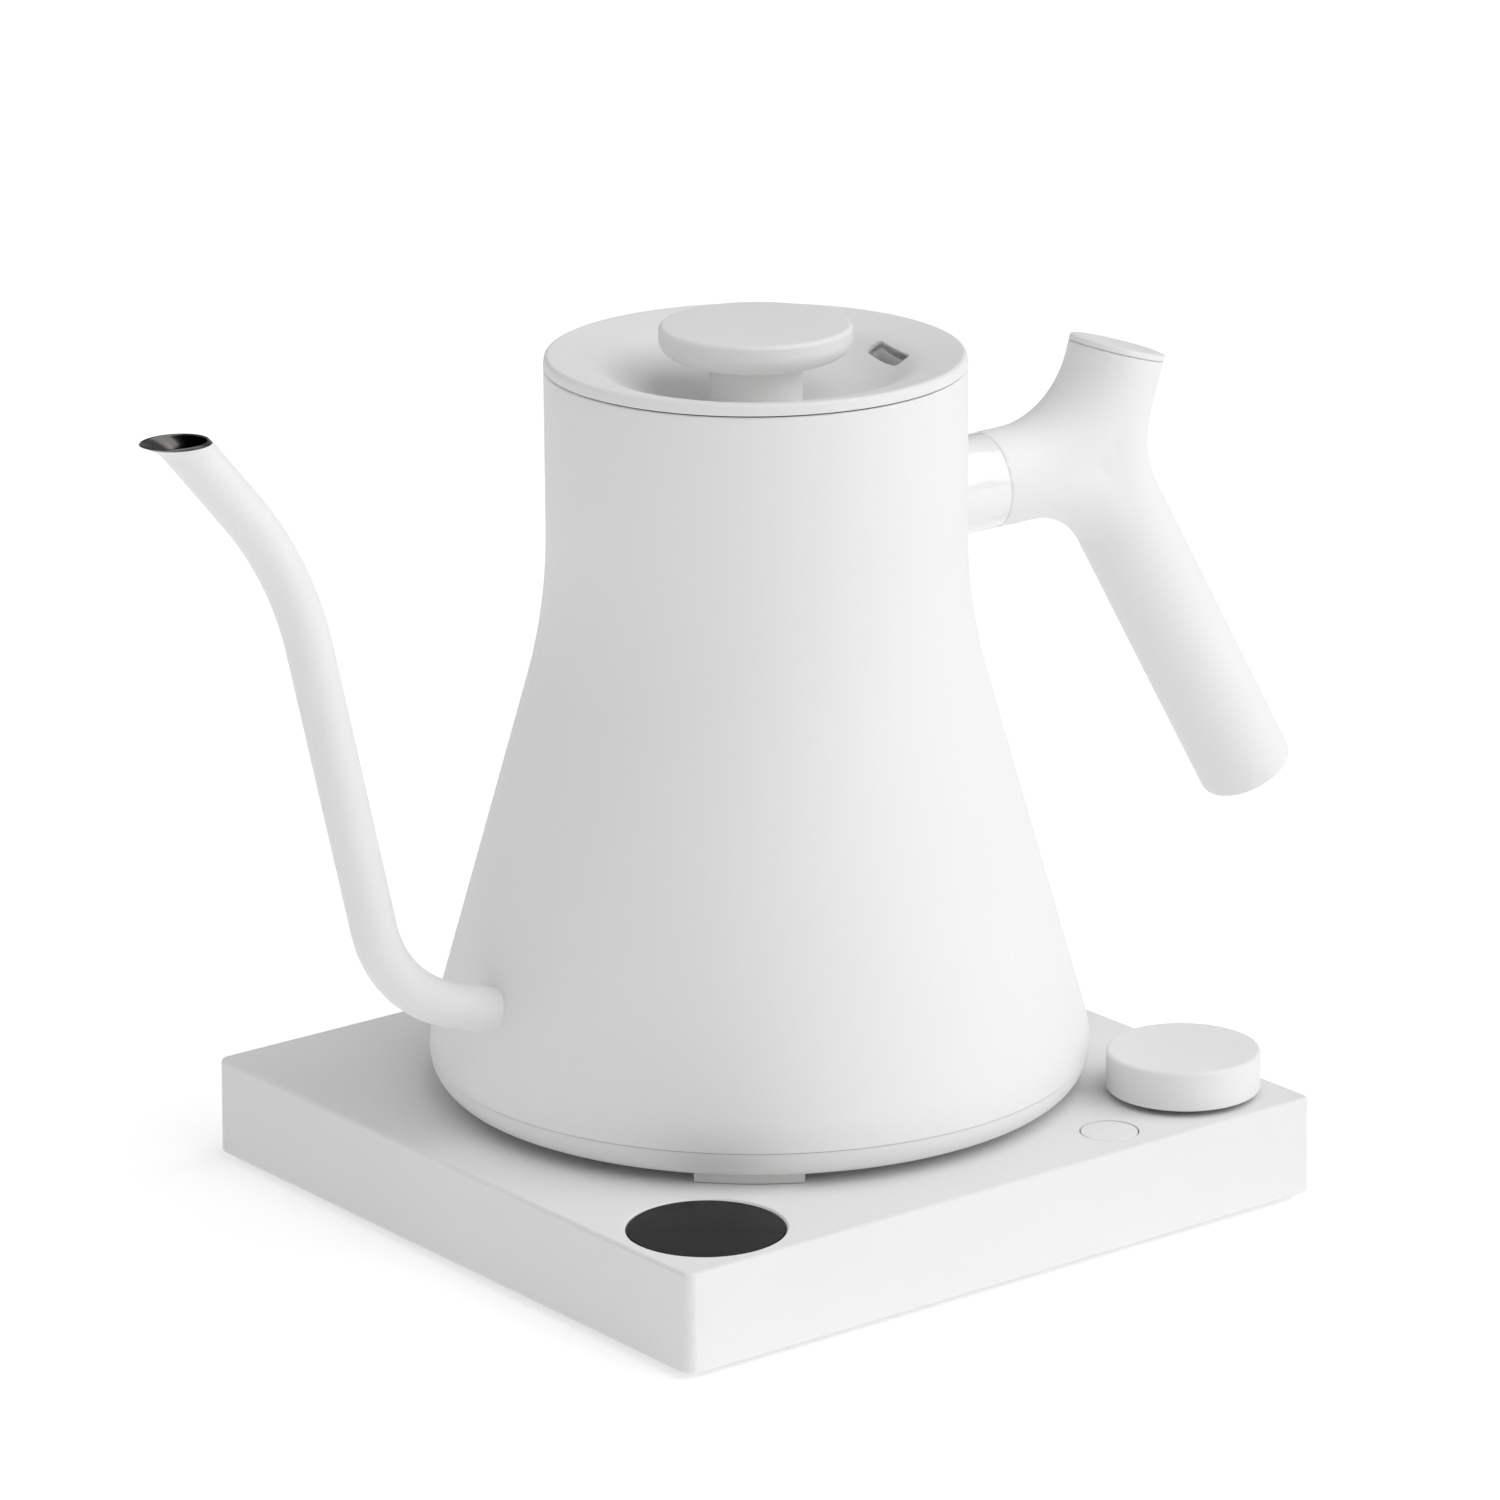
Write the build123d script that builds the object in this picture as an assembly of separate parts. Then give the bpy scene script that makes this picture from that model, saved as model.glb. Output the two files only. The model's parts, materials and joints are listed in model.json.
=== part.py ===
from build123d import *
import os
from math import atan, cos, radians, sin, tan

# Electric gooseneck kettle standing on a square control base.
# Frame: +Z up, floor at Z = 0, kettle axis on Z. The display, button and dial lie along the
# -Y front edge of the base. The kettle is drawn with its spout to -X and its handle to +X,
# and stands turned a little on the base. Millimetres.

# ---------------------------------------------------------------- control base
FOOT_HEIGHT = 1.5            # feet stand proud of the housing by this much
BASE_WIDTH = 172.6           # square, measured at the bottom edge
BASE_HEIGHT = 22.3
BASE_DRAFT = 0.9             # degrees that each side leans inwards
BASE_CORNER = 2.5
BASE_WALL = 2.5
BASE_TOP = FOOT_HEIGHT + BASE_HEIGHT
CEILING = BASE_TOP - BASE_WALL
PLATE_Z = (1.7, 3.9)         # bottom plate, under face and upper face
FOOT_AT = 66.0               # outer feet, along X and along Y
FOOT_RADIUS = 7.0
BASE_SCREWS = [(x, y) for x in (-78.5, 78.5) for y in (-38.0, 78.5)]
CORNER_AT = 66.0             # display and dial centres, along X and along Y
LENS_CENTRE = (-CORNER_AT, -CORNER_AT)
DIAL_CENTRE = (CORNER_AT, -CORNER_AT)

LENS_RADIUS = 16.6
LENS_THICK = 1.5
BUTTON_AT = (37.3, -74.6)
BUTTON_RADIUS = 6.2
BUTTON_TRAVEL = 0.8
DIAL_RADIUS = 16.9
DIAL_HEIGHT = 8.9
DIAL_GAP = 1.4               # under the dial, more than its press travel
DIAL_TRAVEL = 0.5
SHAFT_RADIUS = 3.0

BOARD_THICK = 1.6
CONTROL_BOARD_Z = 9.0
POWER_BOARD_Z = 8.0
SWITCH_TOP = CONTROL_BOARD_Z + BOARD_THICK + 4.6
CONTROL_POSTS = [(x, y) for x in (-36, 12) for y in (-76, -52)]
POWER_POSTS = [(x, y) for x in (-64, -24) for y in (32, 68)]
GLAND_BORE = 3.5
GLAND_LENGTH = 12.0
GLAND_Z = 12.0

# ---------------------------------------------------------------- cordless connector
NOSE_RADIUS = 15.5
NOSE_TOP = 33.0
SEAT_CLEARANCE = 0.3
SOCKET_RADIUS = 19.5
PIN_RADIUS = 2.7
BLADE_RADIUS = 10.0          # middle of the ring contact
BLADE_THICK = 0.8

# ---------------------------------------------------------------- kettle body
WALL = 1.0
NECK_RADIUS = 45.5
BODY_TOP = 185.5
SHOULDER_TOP = 149.8         # straight neck above, concave shoulder below
SHOULDER_RADIUS = 126.0
CONE_SLOPE = 0.282           # radius lost for each millimetre of height
HEM_RADIUS = 25.9            # convex curve where the cone ends
BODY_BOTTOM = 32.5
BODY_MAX_RADIUS = 72.6
RING_BOTTOM = 26.3
RING_BOTTOM_RADIUS = 68.9
FLOOR_Z = 40.0
FLOOR_THICK = 0.8
PAD_ANGLES = (-124, -4, 116)
PAD_HALF_ANGLE = 10.0
SCREW_ANGLES = (-64, 56, 176)
POST_AT = 61.5
PROBE_AT = (0, 31)
ELEMENT_RADIUS = 44.0
ELEMENT_Z = 33.9
ELEMENT_GAP = 40.0           # open part of the element's ring, degrees
KETTLE_TURN = -6.0           # degrees that the kettle stands turned about Z

# ---------------------------------------------------------------- spout, in the XZ plane
SPOUT_RADIUS = 5.0
SPOUT_BORE = 4.4
SPOUT_ROOT = (-67.0, 52.0)
SPOUT_ELBOW = (-92.8, 60.0)
SPOUT_BEND = (-113.7, 157.5)
SPOUT_LEAN = 38.7            # degrees from vertical at the tip
ELBOW_RADIUS = 27.4
BEND_RADIUS = 77.6
LIP_BOTTOM = 185.3
LIP_TOP = 188.7
LIP_REACH = (-147.5, -132.4)  # furthest and nearest points of the cut mouth
LIP_HALF_WIDTH = 5.6

# ---------------------------------------------------------------- handle, in the XZ plane
GRIP_RADIUS = 10.8
BLEND_STEP = 0.015           # each blending bar is this much thinner than the last
NODE = (87.1, 152.5)         # where the three limbs of the handle meet
STUB_TILT = 2.6              # degrees that the stub rises outwards
ARM_LEAN = 16.3              # upper arm, degrees from vertical
ARM_LENGTH = 24.4
ARM_CAP_THICK = 1.6
LEG_LEAN = 28.9              # lower leg, degrees from vertical
LEG_LENGTH = 90.8
LEG_END_RADIUS = 0.8
COLLAR_END = 59.0            # seam between collar and grip
STUB_BEND = 30.0             # centre-line radius, stub to arm
CROTCH_BEND = 29.0           # centre-line radius, stub to leg
BACK_BEND = 32.0             # centre-line radius, arm to leg
BRACKET_RADIUS = 6.0
BRACKET_START = 40.0
BRACKET_END = 93.5
SLIDE_FIT = 0.05             # clearance of the collar and grip on the bracket
SCREW_SEAT = 12.0            # under the screw's head, along the arm

# ---------------------------------------------------------------- lid
LID_RADIUS = 45.6
LID_RIM_BOTTOM = 185.8
LID_RIM_TOP = 188.5
LID_SHEET = 2.0
DISH_RADIUS = 34.0
DISH_EDGE_Z = 186.0
DISH_FLOOR_Z = 176.5
STEM_RADIUS = 10.0
KNOB_RADIUS = 20.8
KNOB_TOP = 194.5
LINER_RADIUS = 43.0
LINER_BOTTOM = 168.0
SLOT_RADII = (29.7, 33.3)
SLOT_LENGTH = 15.4
SLOT_ANGLE = -7.5
SLOT_WALL = 1.2
LID_SCREW_BORE = 2.1

BOTTOM = (Align.CENTER, Align.CENTER, Align.MIN)


def save(name, shape, turn=0.0):
    """Write one node to its own STEP file, turned about Z."""
    solids = [Rot(0, 0, turn) * solid for solid in shape.solids()]
    whole = solids[0] if len(solids) == 1 else Compound(children=solids)
    export_step(whole, f"parts/{name}.step")


def disc(radius, low, high, at=(0, 0)):
    """Upright cylinder between two heights."""
    return Pos(at[0], at[1], low) * Cylinder(radius, high - low, align=BOTTOM)


def tube(outer, inner, low, high, at=(0, 0)):
    """Upright tube between two heights."""
    return disc(outer, low, high, at) - disc(inner, low - 1, high + 1, at)


def block(x, y, low, high, at=(0, 0), corner=0.0):
    """Upright block between two heights, with rounded vertical edges."""
    outline = RectangleRounded(x, y, corner) if corner else Rectangle(x, y)
    return extrude(Pos(at[0], at[1], low) * outline, amount=high - low)


def polar(radius, angle):
    """Point at a radius and an angle from +X, in degrees."""
    return (radius * cos(radians(angle)), radius * sin(radians(angle)))


def group(shapes):
    """Separate solids of one node."""
    return Compound(children=[solid for shape in shapes for solid in shape.solids()])


def turned(*edges):
    """Solid of revolution about Z from a closed outline of (radius, height) edges."""
    return revolve(Plane.XZ * make_face(Wire(list(edges))), Axis.Z)


def lathe(points):
    """Solid of revolution about Z from a closed polygon of (radius, height) points."""
    return turned(*Polyline(*points, close=True).edges())


def side_path(points, radii):
    """Rounded path through (x, z) points in the plane of the spout and handle."""
    return FilletPolyline(*[at_side(point) for point in points], radius=radii)


def at_side(point):
    """Point in space from (x, z) in the plane of the spout and handle."""
    return (point[0], 0, point[1])


def pipe(path, radius):
    """Round bar along a path."""
    start = Plane(origin=path @ 0, z_dir=path % 0)
    return sweep(start * Circle(radius), path=path)


def rod(start, end, radius):
    """Straight round bar between two points."""
    return pipe(Line(start, end), radius)


def side_rod(start, end, radius):
    """Straight round bar between two (x, z) points."""
    return rod(at_side(start), at_side(end), radius)


# ---------------------------------------------------------------- control base
def base_housing():
    outline = Pos(0, 0, FOOT_HEIGHT) * RectangleRounded(BASE_WIDTH, BASE_WIDTH, BASE_CORNER)
    shell = extrude(outline, amount=BASE_HEIGHT, taper=BASE_DRAFT)
    shell = fillet(shell.edges().group_by(Axis.Z)[-1], 1.0)
    shell = fillet(shell.edges().group_by(Axis.Z)[0], 1.2)
    inside = BASE_WIDTH - 2 * BASE_WALL - 0.8
    shell -= block(inside, inside, 0, CEILING, corner=1.5)
    for at in BASE_SCREWS:
        shell += disc(3.4, PLATE_Z[1], CEILING + 0.5, at)
        shell -= disc(1.45, 0, 15, at)
    shell -= disc(LENS_RADIUS + 0.3, 0, 30, LENS_CENTRE)
    shell -= disc(5.0, 0, 30, DIAL_CENTRE)
    shell -= disc(BUTTON_RADIUS + 0.35, 0, 30, BUTTON_AT)
    shell -= disc(SOCKET_RADIUS - 0.4, 0, 30)
    shell -= rod((0, 70, GLAND_Z), (0, 100, GLAND_Z), 5.5)
    rim = shell.edges().filter_by(GeomType.CIRCLE).group_by(Axis.Z)[-1]
    lens_rim = rim.filter_by(lambda e: abs(e.radius - LENS_RADIUS - 0.3) < 0.01)
    return chamfer(lens_rim, 0.4)


def base_bottom_plate():
    width = BASE_WIDTH - 2 * BASE_WALL - 1.4
    plate = block(width, width, *PLATE_Z, corner=1.2)
    for at in BASE_SCREWS:
        plate -= disc(1.6, 0, 10, at)
        plate -= disc(3.0, 0, PLATE_Z[0] + 1.3, at)
    for at in CONTROL_POSTS:
        plate += disc(2.8, PLATE_Z[1], CONTROL_BOARD_Z, at)
        plate -= disc(1.0, PLATE_Z[1], CONTROL_BOARD_Z + 1, at)
    for at in POWER_POSTS:
        plate += disc(2.8, PLATE_Z[1], POWER_BOARD_Z, at)
        plate -= disc(1.0, PLATE_Z[1], POWER_BOARD_Z + 1, at)
    return plate


def pan_screw(at, head_low, head_high, tip, head_radius, shank_radius):
    """Screw that stands on its head, with a cross recess in the head's under face."""
    screw = disc(head_radius, head_low, head_high, at) + disc(shank_radius, head_high, tip, at)
    slot = block(2.2, 0.5, head_low - 1, head_low + 0.5, at)
    return screw - slot - block(0.5, 2.2, head_low - 1, head_low + 0.5, at)


def base_screws():
    low = PLATE_Z[0] + 0.1
    return group(pan_screw(at, low, PLATE_Z[0] + 1.3, 14, 2.8, 1.4) for at in BASE_SCREWS)


def base_foot(x, y):
    foot = disc(FOOT_RADIUS, 0, PLATE_Z[0], (x, y))
    return fillet(foot.edges().group_by(Axis.Z)[0], 0.5)


def board_screws():
    def screw(at, top):
        return disc(0.95, top - 5, top, at) + disc(1.9, top, top + 1.2, at)

    low = [screw(at, CONTROL_BOARD_Z + BOARD_THICK) for at in CONTROL_POSTS]
    return group(low + [screw(at, POWER_BOARD_Z + BOARD_THICK) for at in POWER_POSTS])


def control_board():
    top = CONTROL_BOARD_Z + BOARD_THICK
    board = block(146, 34, CONTROL_BOARD_Z, top, (0, -65), corner=2)
    for at in CONTROL_POSTS:
        board -= disc(1.1, 0, 20, at)
    board += block(9, 9, top, top + 1.2, (-12, -66))
    board += block(4, 8, top, top + 2.5, (-28, -62))
    for step in range(4):
        board += block(1.6, 2.6, top, top + 1.0, (-2 + 3 * step, -60))
    return board


def power_board():
    top = POWER_BOARD_Z + BOARD_THICK
    board = block(48, 44, POWER_BOARD_Z, top, (-44, 50), corner=1.5)
    for at in POWER_POSTS:
        board -= disc(1.1, 0, 20, at)
    for step in range(3):
        board += disc(3.2, top, top + 8, (-56 + 9 * step, 62))
    return board


def display_holder():
    """Frame that hangs under the housing and carries the panel and the lens."""
    inside = BASE_WIDTH - 2 * BASE_WALL - 1.6
    flange = disc(LENS_RADIUS + 2.4, 15.5, CEILING, LENS_CENTRE)
    holder = disc(LENS_RADIUS - 0.2, CEILING - 1, BASE_TOP - 0.2 - LENS_THICK, LENS_CENTRE)
    holder += flange & block(inside, inside, 0, 30, corner=1.5)
    holder -= block(25, 15, 17, 30, LENS_CENTRE)
    return holder - block(20, 4, 10, 20, LENS_CENTRE)


def encoder_body():
    low = CONTROL_BOARD_Z + BOARD_THICK
    bore = SHAFT_RADIUS + 0.08
    body = block(12, 12, low, low + 5, DIAL_CENTRE, corner=0.6)
    body += tube(4.4, bore, low + 4, BASE_TOP - 0.6, DIAL_CENTRE)
    return body - disc(bore, low + 1.2, 40, DIAL_CENTRE)


def encoder_plunger():
    low = CONTROL_BOARD_Z + BOARD_THICK + 1.2 + DIAL_TRAVEL + 0.1
    return disc(SHAFT_RADIUS, low, low + 1.2, DIAL_CENTRE)


def dial_shaft():
    """Round shaft with a flat for the dial, standing on the encoder's plunger."""
    low = CONTROL_BOARD_Z + BOARD_THICK + 2.5 + DIAL_TRAVEL
    shaft = disc(SHAFT_RADIUS, low + 0.1, BASE_TOP + 8.0, DIAL_CENTRE)
    return shaft - shaft_flat(BASE_TOP + DIAL_GAP, 2.5)


def shaft_flat(low, away):
    """Block whose near face is the flat of the dial's shaft."""
    return block(6, 2, low, 60, (DIAL_CENTRE[0], DIAL_CENTRE[1] + away))


def dial_cap():
    low = BASE_TOP + DIAL_GAP
    cap = disc(DIAL_RADIUS, low, low + DIAL_HEIGHT, DIAL_CENTRE)
    cap = fillet(cap.edges().group_by(Axis.Z)[-1], 0.9)
    cap = fillet(cap.edges().group_by(Axis.Z)[0], 0.4)
    cap -= tube(DIAL_RADIUS - 1.8, 5.2, low - 1, low + DIAL_HEIGHT - 2.0, DIAL_CENTRE)
    bore = disc(SHAFT_RADIUS + 0.02, low - 1, BASE_TOP + 8.0, DIAL_CENTRE)
    return cap - (bore - shaft_flat(0, 2.52))


def button_cap():
    """Flush push button with a hidden skirt that keeps it in the housing."""
    low = CEILING - 1.2
    cap = disc(BUTTON_RADIUS, low, BASE_TOP, BUTTON_AT)
    cap = fillet(cap.edges().group_by(Axis.Z)[-1], 0.3)
    cap += disc(BUTTON_RADIUS + 1.0, low - 1.2, CEILING - 0.3, BUTTON_AT)
    return cap + disc(1.5, SWITCH_TOP, low, BUTTON_AT)


def button_switch():
    """Tactile switch whose top gives way inside the pressed cap's travel."""
    low = CONTROL_BOARD_Z + BOARD_THICK
    return block(6, 6, low, SWITCH_TOP - BUTTON_TRAVEL - 0.1, BUTTON_AT, corner=0.4)


def cord_gland():
    """Bush in the back wall that the mains cord would come through."""
    outer = BASE_WIDTH / 2 - 0.4
    low = outer - GLAND_LENGTH
    wall = BASE_WIDTH / 2 - BASE_WALL - 0.4
    gland = rod((0, low, GLAND_Z), (0, outer, GLAND_Z), 5.4)
    gland += rod((0, wall - 2.0, GLAND_Z), (0, wall - 0.1, GLAND_Z), 7.2)
    return gland - rod((0, low - 1, GLAND_Z), (0, outer + 1, GLAND_Z), GLAND_BORE)


# ---------------------------------------------------------------- cordless connector
def connector_seat():
    """Fixed collar that the round nose stands in."""
    bore = NOSE_RADIUS + SEAT_CLEARANCE
    seat = tube(SOCKET_RADIUS - 0.6, bore, CEILING - 1, BASE_TOP)
    return seat + tube(26, bore, 17.0, CEILING)


def connector_nose():
    """Round upper half of the base connector: central pin bore and one ring groove."""
    nose = disc(NOSE_RADIUS, 15.0, NOSE_TOP)
    nose = fillet(nose.edges().group_by(Axis.Z)[-1], 1.0)
    nose += disc(NOSE_RADIUS + 4, 13.5, 16.7)
    nose -= disc(4.2, 18.0, 40)
    half = BLADE_THICK / 2 + 0.6
    return nose - tube(BLADE_RADIUS + half, BLADE_RADIUS - half, 19.0, 40)


def nose_contacts():
    sleeve = tube(4.2, PIN_RADIUS + 0.35, 18.0, 31.5)
    half = BLADE_THICK / 2 + 0.6
    return group([sleeve, tube(BLADE_RADIUS + half, BLADE_RADIUS - half, 19.0, 22.5)])


def kettle_connector():
    """Socket in the kettle's underside that drops over the nose."""
    socket = disc(SOCKET_RADIUS, RING_BOTTOM, 38.5) - disc(NOSE_RADIUS + 0.5, 0, NOSE_TOP + 0.7)
    socket += tube(24, SOCKET_RADIUS - 1, 30.4, 32.4)
    socket -= disc(PIN_RADIUS, 0, 60)
    half = BLADE_THICK / 2
    return socket - tube(BLADE_RADIUS + half, BLADE_RADIUS - half, 30, 36)


def connector_pin():
    pin = disc(PIN_RADIUS, 27.5, 39.3)
    return fillet(pin.edges().group_by(Axis.Z)[0], 1.0)


def connector_blade():
    half = BLADE_THICK / 2
    return tube(BLADE_RADIUS + half, BLADE_RADIUS - half, 28.0, 36.0)


# ---------------------------------------------------------------- kettle body
def body_outline(inset):
    """Edges of the body's side from hem to neck, moved inwards by a wall."""
    turn = atan(CONE_SLOPE)
    neck = NECK_RADIUS - inset
    shoulder = SHOULDER_RADIUS + inset
    hem = HEM_RADIUS - inset
    centre = neck + shoulder
    low = (centre - shoulder * cos(turn), SHOULDER_TOP - shoulder * sin(turn))
    mid = (centre - shoulder * cos(turn / 2), SHOULDER_TOP - shoulder * sin(turn / 2))
    hem_x = BODY_MAX_RADIUS - HEM_RADIUS
    hem_top = (hem_x + hem * cos(turn), BODY_BOTTOM + hem * sin(turn))
    hem_mid = (hem_x + hem * cos(turn / 2), BODY_BOTTOM + hem * sin(turn / 2))
    return [
        ThreePointArc((hem_x + hem, BODY_BOTTOM), hem_mid, hem_top),
        Line(hem_top, low),
        ThreePointArc(low, mid, (neck, SHOULDER_TOP)),
        Line((neck, SHOULDER_TOP), (neck, BODY_TOP)),
    ]


def body_solid(inset):
    """The whole volume inside the body's outline."""
    side = body_outline(inset)
    foot, head = side[0] @ 0, side[-1] @ 1
    middle = Polyline(head, (0, BODY_TOP), (0, BODY_BOTTOM), foot)
    return turned(*side, *middle.edges())


def spout_path():
    reach = 60.0
    lean = radians(SPOUT_LEAN)
    end = (SPOUT_BEND[0] - reach * sin(lean), SPOUT_BEND[1] + reach * cos(lean))
    back = 4.0 / (SPOUT_ROOT[0] - SPOUT_ELBOW[0])
    start = (
        SPOUT_ROOT[0] + back * (SPOUT_ROOT[0] - SPOUT_ELBOW[0]),
        SPOUT_ROOT[1] + back * (SPOUT_ROOT[1] - SPOUT_ELBOW[1]),
    )
    return side_path([start, SPOUT_ELBOW, SPOUT_BEND, end], [ELBOW_RADIUS, BEND_RADIUS])


def kettle_body():
    shell = body_solid(0) - body_solid(WALL)
    root = spout_path()
    inward = root @ 0 - (root % 0) * 10
    return shell - rod(inward, root @ 0 + (root % 0) * 10, SPOUT_BORE)


def lip(reach, half_width, tube_radius):
    """Flared mouth, from the tube's slanting section up to a longer oval."""
    lean = radians(SPOUT_LEAN)
    low_x = SPOUT_BEND[0] - (LIP_BOTTOM - SPOUT_BEND[1]) * tan(lean)
    low = Pos(low_x, 0, LIP_BOTTOM) * Ellipse(tube_radius / cos(lean), tube_radius)
    middle = (reach[0] + reach[1]) / 2
    high = Pos(middle, 0, LIP_TOP) * Ellipse((reach[1] - reach[0]) / 2, half_width)
    return loft([low, high])


def spout():
    keep = Pos(-110, 0, 0) * Box(160, 60, LIP_BOTTOM, align=BOTTOM)
    path = spout_path()
    wall = SPOUT_RADIUS - SPOUT_BORE
    outer = (pipe(path, SPOUT_RADIUS) & keep) + lip(LIP_REACH, LIP_HALF_WIDTH, SPOUT_RADIUS)
    inner_reach = (LIP_REACH[0] + wall, LIP_REACH[1] - wall)
    inner = (pipe(path, SPOUT_BORE) & keep) + lip(inner_reach, LIP_HALF_WIDTH - wall, SPOUT_BORE)
    return outer - inner - body_solid(0)


def kettle_floor():
    plate = disc(90, FLOOR_Z, FLOOR_Z + FLOOR_THICK) & body_solid(WALL)
    return plate - disc(2.6, 0, 60, PROBE_AT)


def kettle_base_ring():
    """Moulded ring that closes the bottom edge, with a flange for the screws and pads."""
    radius = 7.2
    edge = BODY_MAX_RADIUS - 0.15
    bulge = (edge - radius * (1 - cos(radians(30))), BODY_BOTTOM - radius * sin(radians(30)))
    low_edge = (RING_BOTTOM_RADIUS, RING_BOTTOM)
    side = ThreePointArc(low_edge, bulge, (edge, BODY_BOTTOM))
    collar = [(edge, BODY_BOTTOM), (70.4, BODY_BOTTOM), (70.4, 36.0), (68.6, 36.0), (68.6, 28.3)]
    flange = [(57, 28.3), (57, RING_BOTTOM), low_edge]
    ring = turned(side, *Polyline(*collar, *flange).edges())
    for angle in PAD_ANGLES:
        ring -= pad(angle, RING_BOTTOM - 1, RING_BOTTOM + 0.8)
    for angle in SCREW_ANGLES:
        at = polar(POST_AT, angle)
        ring -= disc(1.7, 20, 40, at) + disc(3.1, 20, RING_BOTTOM + 1.3, at)
    return ring


def pad(angle, low, high):
    """Curved pad centred on an angle."""
    ring = tube(67.8, 61.0, low, high)
    one_side = Rot(0, 0, angle + PAD_HALF_ANGLE) * Pos(0, 100, 0) * Box(300, 200, 200)
    other_side = Rot(0, 0, angle - PAD_HALF_ANGLE) * Pos(0, -100, 0) * Box(300, 200, 200)
    half = Rot(0, 0, angle) * Pos(100, 0, 0) * Box(200, 200, 200)
    return (ring & half) - one_side - other_side


def kettle_pad(angle):
    return pad(angle, BASE_TOP, RING_BOTTOM + 0.8)


def bottom_cover():
    cover = disc(68.2, 28.3, 30.1) - disc(SOCKET_RADIUS + 0.2, 20, 40)
    for angle in SCREW_ANGLES:
        cover -= disc(1.7, 20, 40, polar(POST_AT, angle))
    return cover


def floor_posts():
    """Threaded posts welded under the vessel floor."""
    return group(tube(3.0, 1.3, 30.1, FLOOR_Z, polar(POST_AT, a)) for a in SCREW_ANGLES)


def bottom_screws():
    low, high = RING_BOTTOM + 0.1, RING_BOTTOM + 1.3
    return group(pan_screw(polar(POST_AT, a), low, high, 37, 2.9, 1.25) for a in SCREW_ANGLES)


def heat_spreader():
    plate = tube(52, 21, 37.4, FLOOR_Z)
    return plate - disc(3.6, 0, 60, PROBE_AT)


def heating_element():
    """Sheathed element bent into an open ring."""
    ring = CenterArc((0, 0, ELEMENT_Z), ELEMENT_RADIUS, 90 + ELEMENT_GAP / 2, 360 - ELEMENT_GAP)
    return pipe(ring, 3.4)


def element_terminals():
    """Pins that go on from the element's two ends."""
    pins = []
    slant = radians(ELEMENT_GAP / 2)
    for side in (-1, 1):
        x, y = polar(ELEMENT_RADIUS, 90 - side * ELEMENT_GAP / 2)
        end = (x - 7 * side * cos(slant), y + 7 * sin(slant), ELEMENT_Z)
        pins.append(rod((x, y, ELEMENT_Z), end, 1.4))
    return group(pins)


def thermal_cutouts():
    cans = []
    for x in (-31, 31):
        cans.append(disc(6, 33.4, 37.4, (x, 0)) + block(4, 8, 31.4, 33.4, (x, 0)))
    return group(cans)


def temperature_probe():
    tip = disc(2.4, 34, 51, PROBE_AT)
    tip = fillet(tip.edges().group_by(Axis.Z)[-1], 1.5)
    return tip + disc(3.4, 35, FLOOR_Z, PROBE_AT)


# ---------------------------------------------------------------- handle
def along_arm(length):
    """Point on the upper arm's axis, measured from the node."""
    lean = radians(ARM_LEAN)
    return (NODE[0] + length * sin(lean), NODE[1] + length * cos(lean))


def along_leg(length):
    """Point on the lower leg's axis, measured from the node."""
    lean = radians(LEG_LEAN)
    return (NODE[0] + length * sin(lean), NODE[1] - length * cos(lean))


def along_stub(reach):
    """Point on the stub's axis at a distance from the kettle's axis."""
    return (reach, NODE[1] + (reach - NODE[0]) * tan(radians(STUB_TILT)))


def past_seam():
    """Everything on the grip's side of the seam between collar and grip."""
    seam = Pos(*at_side(along_stub(COLLAR_END))) * Rot(0, -STUB_TILT, 0)
    return seam * Box(300, 100, 400, align=(Align.MIN, Align.CENTER, Align.CENTER))


def handle_grip():
    """Three round limbs that run into each other through bends."""
    arm, leg, stub = along_arm(ARM_LENGTH), along_leg(LEG_LENGTH), along_stub(COLLAR_END - 4)
    foot = side_rod(NODE, leg, GRIP_RADIUS)
    foot = fillet(foot.edges().sort_by(Axis.Z)[0], LEG_END_RADIUS)
    crotch_path = side_path([stub, NODE, along_leg(LEG_LENGTH / 2)], [CROTCH_BEND])
    back_path = side_path([along_arm(ARM_LENGTH - 2), NODE, along_leg(LEG_LENGTH / 3)], [BACK_BEND])
    grip = foot + pipe(side_path([stub, NODE, arm], [STUB_BEND]), GRIP_RADIUS)
    grip += pipe(crotch_path, GRIP_RADIUS - BLEND_STEP)
    grip += pipe(back_path, GRIP_RADIUS - 2 * BLEND_STEP)
    grip += Pos(NODE[0] - 1, 0, NODE[1] + 1) * Sphere(GRIP_RADIUS - 3 * BLEND_STEP)
    grip &= past_seam()
    socket_end = along_stub(BRACKET_END + 0.2)
    grip -= side_rod(along_stub(BRACKET_START), socket_end, BRACKET_RADIUS + SLIDE_FIT)
    grip -= side_rod(NODE, along_arm(ARM_LENGTH + 5), 2.2)
    return grip - side_rod(along_arm(SCREW_SEAT), along_arm(ARM_LENGTH + 5), 4.6)


def handle_collar():
    """Short round sleeve between the body's neck and the grip."""
    low, high = along_stub(BRACKET_START), along_stub(COLLAR_END + 20)
    collar = side_rod(low, high, GRIP_RADIUS) - side_rod(low, high, BRACKET_RADIUS + SLIDE_FIT)
    return collar - past_seam() - body_solid(0)


def handle_bracket():
    """Steel bar welded to the body that carries the handle."""
    bar = side_rod(along_stub(BRACKET_START), along_stub(BRACKET_END), BRACKET_RADIUS)
    bar -= body_solid(0)
    return bar - side_rod(along_arm(-SCREW_SEAT), along_arm(SCREW_SEAT), 1.9)


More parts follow.
